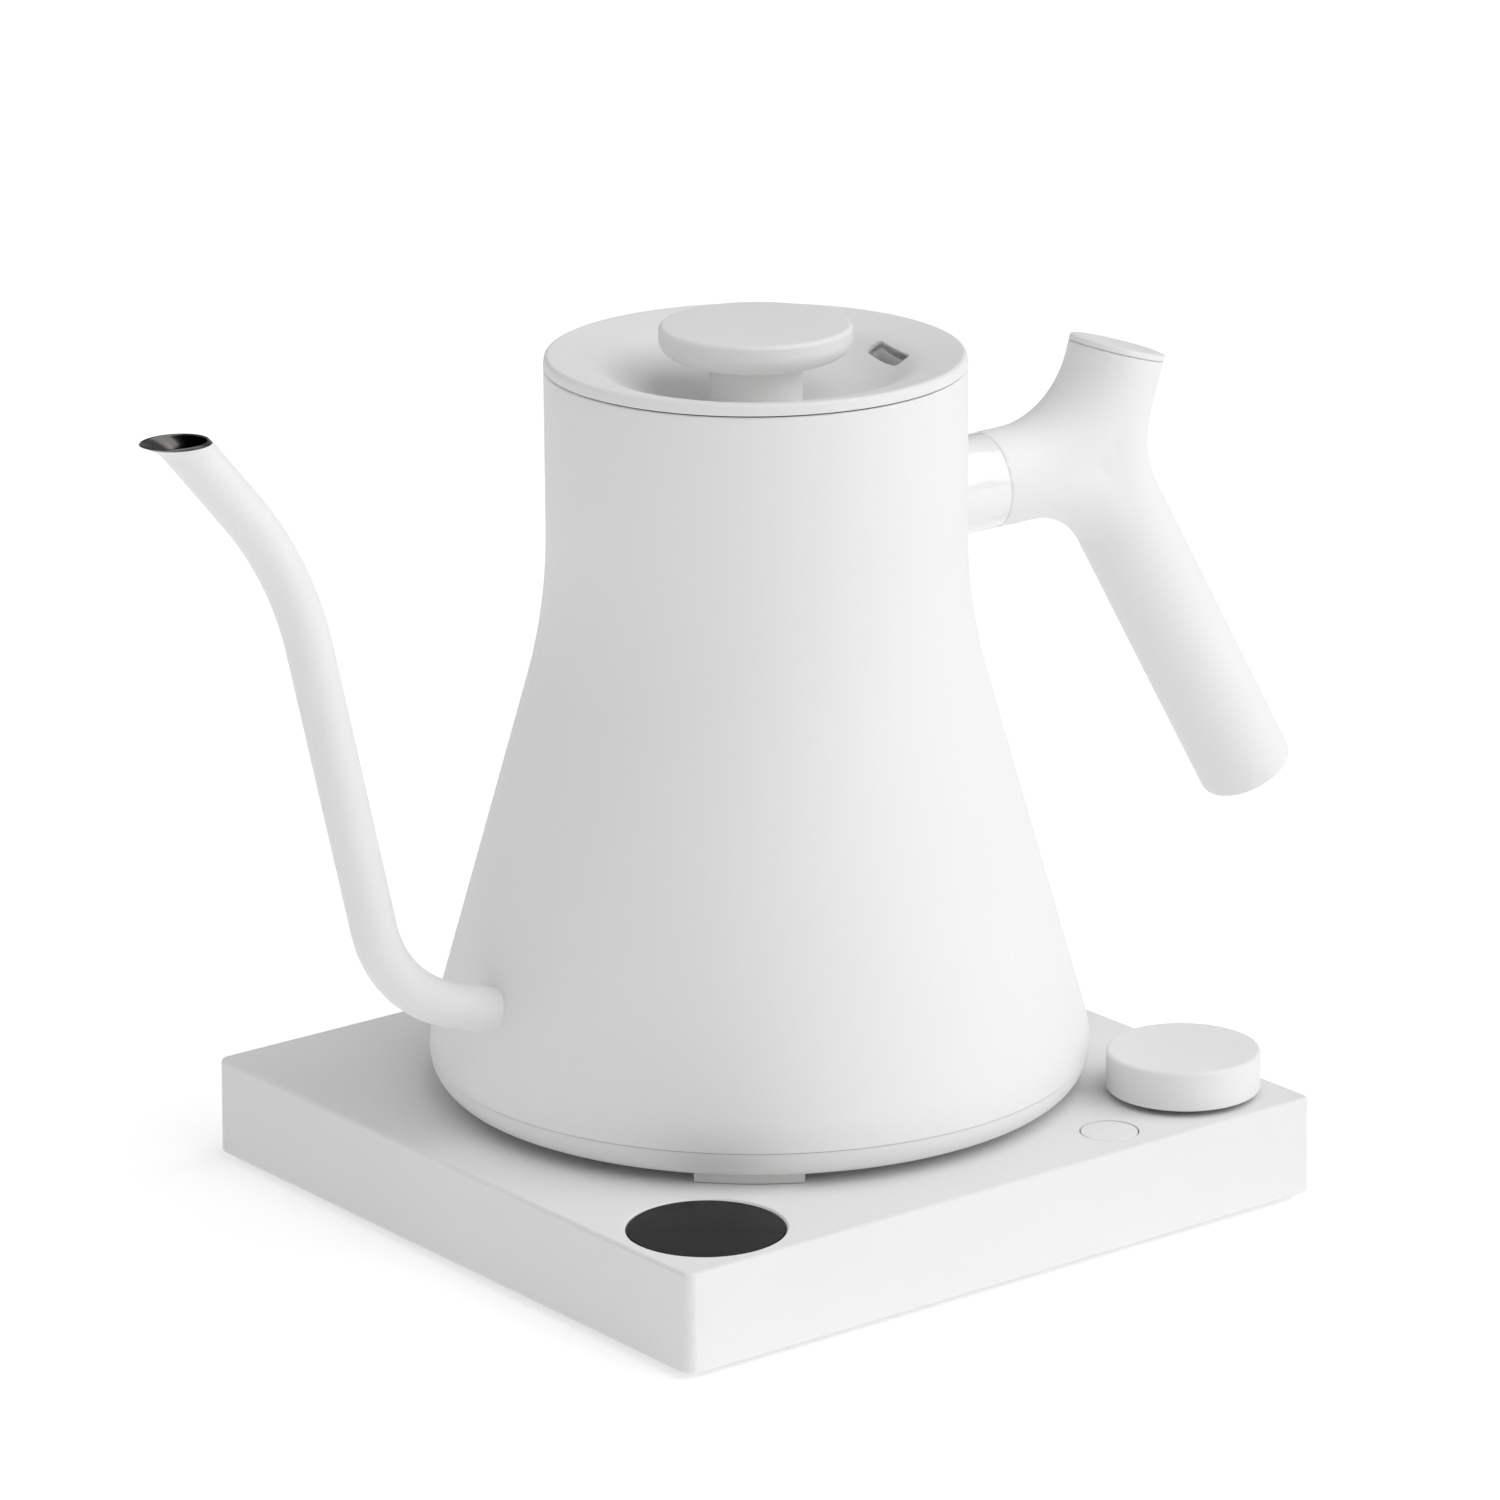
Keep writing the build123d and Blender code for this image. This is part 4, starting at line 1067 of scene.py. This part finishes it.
class KETTLE_OT_grip(bpy.types.Operator):
    """Skin the branched grip and let its three limbs run into each other"""

    bl_idname = "kettle.grip"
    bl_label = "Handle grip"

    def execute(self, context):
        sizes = context.scene.kettle_handle_sizes
        body = context.scene.kettle_body_sizes
        grip = merged_copy("handle_grip", "grip_shell")
        skin_step = grip.modifiers.new("Skin", "REMESH")
        skin_step.mode, skin_step.voxel_size, skin_step.adaptivity = "VOXEL", sizes.voxel, 0.0
        bake(grip, 60)
        light = grip.modifiers.new("Even skin", "SMOOTH")
        light.factor, light.iterations = 0.5, 2
        bake(grip, 60)
        centre = turn_about_z(body.turn) @ Vector((sizes.node[0] + 0.001, 0, sizes.node[1] + 0.001))
        junction = grip.vertex_groups.new(name="junction")
        near, far = 0.013, 0.021
        for vertex in grip.data.vertices:
            weight = (far - (vertex.co - centre).length) / (far - near)
            if weight > 0:
                junction.add([vertex.index], min(weight, 1.0), "REPLACE")
        smooth = grip.modifiers.new("Junction", "SMOOTH")
        smooth.factor, smooth.iterations, smooth.vertex_group = 0.5, sizes.soften, "junction"
        bake(grip, 50)
        grip.vertex_groups.clear()
        settle(grip, "kettle", ["handle_grip"], ["grip_white"])
        return {"FINISHED"}


class KETTLE_OT_collar(bpy.types.Operator):
    """Sleeve between neck and grip, and the dished disc on the upper arm"""

    bl_idname = "kettle.collar"
    bl_label = "Collar and cap"

    def execute(self, context):
        sizes = context.scene.kettle_handle_sizes
        body = context.scene.kettle_body_sizes
        self.sleeve(sizes, body)
        self.disc(sizes, body)
        return {"FINISHED"}

    def sleeve(self, sizes, body):
        flats = 128
        neck = body.neck_radius - 0.0006
        soft = 0.00018
        outer, bore = sizes.radius, 0.00605
        rings = []
        for radius, back in (
            (bore, 0.0), (bore + 0.0002, 0.0), (outer - soft, 0.0), (outer - soft * 0.3, soft * 0.3),
            (outer, soft),
        ):
            rings.append(circle(radius, flats, -back))
        place = Matrix.Translation(
            (sizes.seam, 0, sizes.node[1] + (sizes.seam - sizes.node[0]) * math.tan(sizes.stub_tilt))
        )
        place = place @ Matrix.Rotation(math.pi / 2 - sizes.stub_tilt, 4, "Y")
        rings = [[place @ Vector(p) for p in ring] for ring in rings]
        along = place.to_3x3() @ Vector((0, 0, 1))
        for source in (rings[-1], rings[0]):
            landed = []
            for point in source:
                goal = math.sqrt(max(neck * neck - point.y * point.y, 0))
                landed.append(point + along * (goal - point.x) / along.x)
            rings.append(landed)
        vertices, faces = skin_rings(rings)
        sleeve = mesh_piece("collar_sleeve", vertices, faces, None, turn_about_z(body.turn))
        recalculate(sleeve)
        settle(sleeve, "kettle", ["handle_collar"], ["collar_white"])

    def disc(self, sizes, body):
        thick, radius = sizes.cap_thick, sizes.radius
        dish = 0.0003
        corners = [
            (0.0, -0.006, 0), (0.0045, -0.006, 0.0003), (0.0045, 0.00002, 0),
            (radius - 0.0001, 0.00002, 0), (radius, 0.00012, 0), (radius, thick, 0.0003),
        ]
        outline = rounded(corners, 6)
        reach = radius - 0.0004
        for step in range(1, 13):
            across = reach * (1 - step / 12)
            outline.append(Vector((across, thick - dish * (1 - (across / reach) ** 2))))
        cap = mesh_piece("arm_cap", *spin(outline, 160))
        cap.data.transform(arm_frame(sizes, body, sizes.arm_length))
        crisp(cap.data, 32)
        settle(cap, "kettle", ["handle_cap"], ["grip_white"])


# ------------------------------------------------------------------ lid
def slot_outline(sizes, grow, steps=6):
    """Rounded rectangle of the steam slot, grown by a wall."""
    near, far = sizes.slot_near - grow, sizes.slot_far + grow
    half = sizes.slot_length / 2 + grow
    corner = 0.0013 + grow
    return rounded(
        [(near, -half, corner), (far, -half, corner), (far, half, corner), (near, half, corner)], steps,
    )


class KETTLE_OT_lid(bpy.types.Operator):
    """Spin the dished lid, cut its steam slot and line it with a chimney"""

    bl_idname = "kettle.lid"
    bl_label = "Lid cover"

    def execute(self, context):
        sizes = context.scene.kettle_lid_sizes
        body = context.scene.kettle_body_sizes
        seat = sizes.stem_radius + 0.002
        middle = (sizes.slot_near - 0.002, 0.1818)
        top = arc_through((seat, sizes.dish_floor), middle, (sizes.dish_radius, sizes.dish_edge), 40)
        edge = LID_EDGE
        shoulder = Vector((edge - 0.0004, sizes.rim_top))
        rim_way = (shoulder - top[-1]).normalized()
        soft = self.soft_edge(top, shoulder)
        rim = rounded(
            [
                (shoulder.x - rim_way.x * 0.006, shoulder.y - rim_way.y * 0.006, 0),
                (shoulder.x, shoulder.y, 0.001), (edge, sizes.rim_bottom, 0.0002),
                (LINER_EDGE - 0.0009, sizes.rim_bottom, 0),
            ],
            10,
        )
        under = [Vector((p.x, p.y - sizes.sheet)) for p in top]
        bore = 0.0021
        hub = [Vector((bore, sizes.dish_floor - sizes.sheet)), Vector((bore, sizes.dish_floor))]
        outline = hub + soft + rim + under[::-1]
        lid = mesh_piece("lid_cover", *spin(outline, body.steps))
        way = sizes.slot_angle + body.turn
        holes = slot_outline(sizes, 0.0)
        low = [(p.x, p.y, 0.15) for p in holes]
        high = [(p.x, p.y, 0.21) for p in holes]
        vertices, faces = skin_rings([low, high], close=False)
        count = len(holes)
        faces += [list(range(count))[::-1], list(range(count, 2 * count))]
        cutter = mesh_piece("slot_cutter", vertices, faces, None, turn_about_z(way))
        recalculate(cutter)
        cut(lid, cutter)
        self.join(lid, self.chimney(sizes, top, way))
        settle(lid, "lid", ["lid_cap"], ["lid_white"])
        return {"FINISHED"}

    def soft_edge(self, top, shoulder):
        """Upper face with the dish's edge eased over into the rim."""
        reach = 0.003
        corner = top[-1]
        kept = [p for p in top if (p - corner).length > reach]
        start = kept[-1]
        end = corner + (shoulder - corner).normalized() * reach
        eased = [start.lerp(corner, k / 10).lerp(corner.lerp(end, k / 10), k / 10) for k in range(1, 11)]
        return kept + eased

    def chimney(self, sizes, top, way):
        """Walls that line the slot, up to just under the lid's upper face."""
        def height(point):
            away = math.hypot(point.x, point.y)
            for low, high in zip(top, top[1:]):
                if low.x <= away <= high.x:
                    return low.y + (high.y - low.y) * (away - low.x) / (high.x - low.x)
            return top[-1].y

        outer, inner = slot_outline(sizes, 0.0012), slot_outline(sizes, 0.0)
        sink = 0.0009
        floor = 0.178
        rings = [[(p.x, p.y, floor) for p in inner], [(p.x, p.y, floor) for p in outer]]
        rings.append([(p.x, p.y, height(p) - sink) for p in outer])
        rings.append([(p.x, p.y, height(p) - sink) for p in inner])
        vertices, faces = skin_rings(rings)
        lining = mesh_piece("slot_lining", vertices, faces, None, turn_about_z(way))
        recalculate(lining)
        return lining

    def join(self, piece, extra):
        work = bmesh.new()
        work.from_mesh(piece.data)
        work.from_mesh(extra.data)
        work.to_mesh(piece.data)
        work.free()
        crisp(piece.data, 32)
        bpy.data.objects.remove(extra)


class KETTLE_OT_knob(bpy.types.Operator):
    """Spin the flat-topped knob and the gasket's two soft lips"""

    bl_idname = "kettle.knob"
    bl_label = "Knob and gasket"

    def execute(self, context):
        sizes = context.scene.kettle_lid_sizes
        body = context.scene.kettle_body_sizes
        top, radius, stem = KNOB_HIGH.z, KNOB_HIGH.x, sizes.stem_radius
        under = self.curve(
            (stem, top - 0.0081), (stem + 0.0062, top - 0.0078), (radius + 0.0006, top - 0.0066),
            (radius, top - 0.0022), 28,
        )
        crown = rounded([(radius, top - 0.0022, 0), (radius, top, 0.0011), (0.0, top, 0)], 10)
        foot = [
            Vector((0.0019, sizes.dish_floor)), Vector((stem, sizes.dish_floor)),
            Vector((stem, top - 0.0096)),
        ]
        bore = [Vector((0.0, top - 0.006)), Vector((0.0019, top - 0.006))]
        outline = bore + foot + under + crown[1:]
        knob = mesh_piece("knob_shell", *spin(outline, body.steps))
        settle(knob, "lid", ["lid_knob"], ["lid_white"])
        inner, outer = LINER_EDGE + 0.0003, GASKET_HIGH.x
        low, high = GASKET_LOW.z, GASKET_HIGH.z
        corners = [
            (inner, low, 0.0001), (outer, low + 0.0004, 0.0002), (outer, low + 0.0012, 0.0002),
            (outer - 0.0005, (low + high) / 2, 0.0002),
        ]
        corners += [(outer, high - 0.0013, 0.0002), (outer, high - 0.0004, 0.0002), (inner, high, 0.0001)]
        gasket = mesh_piece("gasket_ring", *spin(rounded(corners, 4), body.steps))
        settle(gasket, "lid_seal", ["lid_gasket"], ["silicone_white"])
        return {"FINISHED"}

    def curve(self, a, b, c, d, steps):
        """Points on one smooth curve from a to d, pulled towards b and c."""
        a, b, c, d = (Vector(p) for p in (a, b, c, d))
        points = []
        for step in range(steps + 1):
            t = step / steps
            u = 1 - t
            points.append(a * u ** 3 + b * 3 * u * u * t + c * 3 * u * t * t + d * t ** 3)
        return points


# ------------------------------------------------------------------ base
class KETTLE_OT_base(bpy.types.Operator):
    """Square housing of the base, its dark lens, its button and its dial"""

    bl_idname = "kettle.base"
    bl_label = "Base and controls"

    def execute(self, context):
        housing = merged_copy("base_housing", "base_shell")
        settle(housing, "base", ["base_housing"], ["housing_white"])
        centre = (LENS_LOW + LENS_HIGH) / 2
        radius = (LENS_HIGH.x - LENS_LOW.x) / 2
        corners = [
            (0.0, LENS_LOW.z, 0), (radius, LENS_LOW.z, 0), (radius, LENS_HIGH.z, 0.00025),
            (0.0, LENS_HIGH.z, 0),
        ]
        lens = mesh_piece(
            "display_window", *spin(rounded(corners, 5), 192),
            matrix=Matrix.Translation((centre.x, centre.y, 0)),
        )
        settle(lens, "base", ["display_lens"], ["black_lens"])
        self.button()
        self.dial()
        return {"FINISHED"}

    def button(self):
        centre = (BUTTON_LOW + BUTTON_HIGH) / 2
        skirt = (BUTTON_HIGH.x - BUTTON_LOW.x) / 2
        radius = skirt - 0.001
        low, top = BUTTON_LOW.z, BUTTON_HIGH.z
        corners = [
            (0.0, low, 0), (0.0015, low, 0), (0.0015, 0.0189, 0), (skirt, 0.0189, 0), (skirt, 0.021, 0),
            (radius, 0.021, 0), (radius, top, 0.0003), (0.0, top, 0),
        ]
        cap = mesh_piece(
            "push_button", *spin(rounded(corners, 6), 128),
            matrix=Matrix.Translation((centre.x, centre.y, 0)),
        )
        settle(cap, "button", ["button_cap"], ["dial_white"])

    def dial(self):
        centre = (DIAL_LOW + DIAL_HIGH) / 2
        radius = (DIAL_HIGH.x - DIAL_LOW.x) / 2
        low, top = DIAL_LOW.z, DIAL_HIGH.z
        wall, boss, bore = 0.0018, 0.0052, 0.00302
        corners = [
            (0.0, top, 0), (0.0, top - 0.0017, 0), (bore, top - 0.0017, 0), (bore, low, 0), (boss, low, 0),
            (boss, top - 0.002, 0),
        ]
        corners += [
            (radius - wall, top - 0.002, 0), (radius - wall, low, 0), (radius, low, 0.0004),
            (radius, top, 0.0009),
        ]
        cap = mesh_piece(
            "dial_shell", *spin(rounded(corners, 8), 224),
            matrix=Matrix.Translation((centre.x, centre.y, 0)),
        )
        settle(cap, "dial", ["dial_cap"], ["dial_white"])


class KETTLE_OT_fasteners(bpy.types.Operator):
    """Set the feet and the screws in their places, each screw with its own turn"""

    bl_idname = "kettle.fasteners"
    bl_label = "Feet and screws"

    def execute(self, context):
        body = context.scene.kettle_body_sizes
        radius = (FOOT_HIGH.x - FOOT_LOW.x) / 2
        corners = [
            (0.0, 0.0, 0), (radius * 0.55, 0.0, 0), (radius * 0.6, 0.0003, 0), (radius * 0.66, 0.0003, 0),
            (radius * 0.71, 0.0, 0),
        ]
        corners += [(radius, 0.0, 0.0005), (radius, FOOT_HIGH.z, 0), (0.0, FOOT_HIGH.z, 0)]
        foot = mesh_piece("foot", *spin(rounded(corners, 5), 96))
        names = [node for node in SLOT_OF if node.startswith("base_foot")]
        middles = [(Vector(low) + Vector(high)) / 2 for low, high in map(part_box, names)]
        feet = on_spots(
            "base_feet", foot, [(middle.x, middle.y, 0.0) for middle in middles], 1, "rubber_grey"
        )
        settle(feet, "base", names, ["rubber_grey"])
        low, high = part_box("base_screws")
        screw = cross_screw("plate_screw", 0.0028, 0.0, 0.0012, 0.0014, high.z - low.z)
        spots = [(x, y, low.z) for x in (-0.0785, 0.0785) for y in (-0.038, 0.0785)]
        screws = on_spots("plate_screws", screw, spots, 4, "zinc_screw")
        settle(screws, "base", ["base_screws"], ["zinc_screw"])
        low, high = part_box("bottom_screws")
        screw = cross_screw("cover_screw", 0.0029, 0.0, 0.0012, 0.00125, high.z - low.z)
        ways = [math.radians(a) + body.turn for a in (-64, 56, 176)]
        spots = [(0.0615 * math.cos(a), 0.0615 * math.sin(a), low.z) for a in ways]
        screws = on_spots("cover_screws", screw, spots, 9, "zinc_screw")
        settle(screws, "kettle", ["bottom_screws"], ["zinc_screw"])
        self.board_screws()
        return {"FINISHED"}

    def board_screws(self):
        low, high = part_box("board_screws")
        tops = {
            0.0118: [(x, y) for x in (-0.036, 0.012) for y in (-0.076, -0.052)],
            0.0108: [(x, y) for x in (-0.064, -0.024) for y in (0.032, 0.068)]
        }
        screw = cross_screw("board_screw", 0.0019, 0.0, 0.0012, 0.00095, 0.0062, downwards=False)
        spots = [(x, y, top) for top, places in tops.items() for x, y in places]
        screws = on_spots("board_fixings", screw, spots, 2, "zinc_screw")
        settle(screws, "base", ["board_screws"], ["zinc_screw"])


class KETTLE_OT_finishes(bpy.types.Operator):
    """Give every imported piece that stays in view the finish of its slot"""

    bl_idname = "kettle.finishes"
    bl_label = "Finishes of the packed pieces"

    def execute(self, context):
        for name, node in frame["nodes"].items():
            for place in node.material_slots:
                place.link = "OBJECT"
                place.material = finish(SLOT_OF[name])
        return {"FINISHED"}


# ------------------------------------------------------------------ stage
class KETTLE_OT_stage(bpy.types.Operator):
    """Pale floor, soft studio light and the camera"""

    bl_idname = "kettle.stage"
    bl_label = "Stage"

    def execute(self, context):
        stage = context.scene.kettle_stage
        self.floor(stage)
        self.room(context, stage)
        self.sun("key_light", stage.key, KEY_FROM, 75)
        self.sun("top_light", stage.top, TOP_FROM, 80)
        self.sun("rim_light", stage.rim, RIM_FROM, 60)
        self.softbox("strip_right", 1.2, (1.0, -0.85, 0.75), (0.25, 1.1))
        self.camera(context)
        context.scene.view_settings.view_transform = "Standard"
        context.scene.view_settings.look = "None"
        return {"FINISHED"}

    def floor(self, stage):
        half = 9.0
        steps = 12
        spots = [
            (-half + 2 * half * i / steps, -half + 2 * half * j / steps, 0.0)
            for j in range(steps + 1) for i in range(steps + 1)
        ]
        faces = [
            [
                j * (steps + 1) + i, j * (steps + 1) + i + 1, (j + 1) * (steps + 1) + i + 1,
                (j + 1) * (steps + 1) + i,
            ]
            for j in range(steps) for i in range(steps)
        ]
        floor = mesh_piece("floor", spots, faces)
        material, wiring, shader, place = start_material("Pale paper")
        cloud = use_group(wiring, cloud_group(), {"Vector": place, "Size": 0.4})
        tint = wiring.add(
            "ShaderNodeMix",
            {0: cloud.outputs["Mask"], 6: shade((0.90, 0.90, 0.90), 1), 7: shade((0.91, 0.91, 0.91), 1)},
            data_type="RGBA",
        )
        wiring.feed(shader.inputs["Base Color"], tint.outputs[2])
        shader.inputs["Roughness"].default_value = 0.9
        shader.inputs["Specular IOR Level"].default_value = 0.0
        shader.inputs["Emission Color"].default_value = (1, 1, 1, 1)
        seen = wiring.add("ShaderNodeLightPath", {}).outputs["Is Camera Ray"]
        glow = wiring.maths("MULTIPLY_ADD", seen, stage.paper_white)
        glow.node.inputs[2].default_value = stage.glow
        wiring.feed(shader.inputs["Emission Strength"], glow)
        floor.data.materials.append(material)

    def room(self, context, stage):
        world = bpy.data.worlds.new("Studio")
        world.use_nodes = True
        background = world.node_tree.nodes["Background"]
        background.inputs["Color"].default_value = (1, 1, 1, 1)
        background.inputs["Strength"].default_value = stage.sky
        context.scene.world = world

    def sun(self, name, strength, towards, spread):
        light = bpy.data.lights.new(name, "SUN")
        light.energy = strength
        light.angle = math.radians(spread)
        lamp = bpy.data.objects.new(name, light)
        lamp.rotation_euler = Vector(towards).to_track_quat("Z", "Y").to_euler()
        bpy.context.scene.collection.objects.link(lamp)

    def softbox(self, name, energy, place, size):
        light = bpy.data.lights.new(name, "AREA")
        light.shape = "RECTANGLE"
        light.size, light.size_y = size
        light.energy = energy
        lamp = bpy.data.objects.new(name, light)
        lamp.location = place
        lamp.rotation_euler = (Vector(place) - Vector((0, 0, 0.12))).to_track_quat("Z", "Y").to_euler()
        bpy.context.scene.collection.objects.link(lamp)

    def camera(self, context):
        yaw, rise, roll = map(math.radians, (CAMERA_TURN, CAMERA_RISE, CAMERA_ROLL))
        back = Vector((math.sin(yaw) * math.cos(rise), -math.cos(yaw) * math.cos(rise), math.sin(rise)))
        right = Vector((math.cos(yaw), math.sin(yaw), 0.0))
        up = back.cross(right)
        right, up = right * math.cos(
            roll
        ) + up * math.sin(roll), up * math.cos(roll) - right * math.sin(roll)
        lens = bpy.data.cameras.new("camera")
        lens.sensor_width = 36.0
        lens.lens = CAMERA_LENS
        lens.clip_end = 60.0
        eye = bpy.data.objects.new("camera", lens)
        eye.matrix_world = Matrix((right, up, back)).transposed().to_4x4()
        eye.location = CAMERA_AT
        context.scene.collection.objects.link(eye)
        context.scene.camera = eye


# ------------------------------------------------------------------ panel and registration
PIECES = (
    KETTLE_OT_finishes,
    KETTLE_OT_body,
    KETTLE_OT_base_ring,
    KETTLE_OT_spout,
    KETTLE_OT_grip,
    KETTLE_OT_collar,
    KETTLE_OT_lid,
    KETTLE_OT_knob,
    KETTLE_OT_base,
    KETTLE_OT_fasteners,
    KETTLE_OT_stage,
)
SETTINGS = {
    "kettle_body_sizes": KettleBodySizes,
    "kettle_spout_sizes": KettleSpoutSizes,
    "kettle_handle_sizes": KettleHandleSizes,
    "kettle_lid_sizes": KettleLidSizes,
    "kettle_finishes": KettleFinishes,
    "kettle_stage": KettleStage,
}


class KETTLE_PT_pieces(bpy.types.Panel):
    """Lists the kettle's pieces and their sizes"""

    bl_idname = "KETTLE_PT_pieces"
    bl_label = "Gooseneck kettle"
    bl_space_type = "VIEW_3D"
    bl_region_type = "UI"
    bl_category = "Kettle"

    def draw(self, context):
        for piece in PIECES:
            self.layout.operator(piece.bl_idname)
        for name, group in SETTINGS.items():
            box = self.layout.box()
            for field in group.__annotations__:
                box.prop(getattr(context.scene, name), field)


def register():
    for kind in (*SETTINGS.values(), *PIECES, KETTLE_PT_pieces):
        bpy.utils.register_class(kind)
    for name, group in SETTINGS.items():
        setattr(bpy.types.Scene, name, PointerProperty(type=group))


def unregister():
    for name in SETTINGS:
        delattr(bpy.types.Scene, name)
    for kind in (KETTLE_PT_pieces, *reversed(PIECES), *reversed(list(SETTINGS.values()))):
        bpy.utils.unregister_class(kind)


def main():
    register()
    for piece in PIECES:
        family, name = piece.bl_idname.split(".")
        getattr(getattr(bpy.ops, family), name)()


if __name__ == "__main__":
    main()
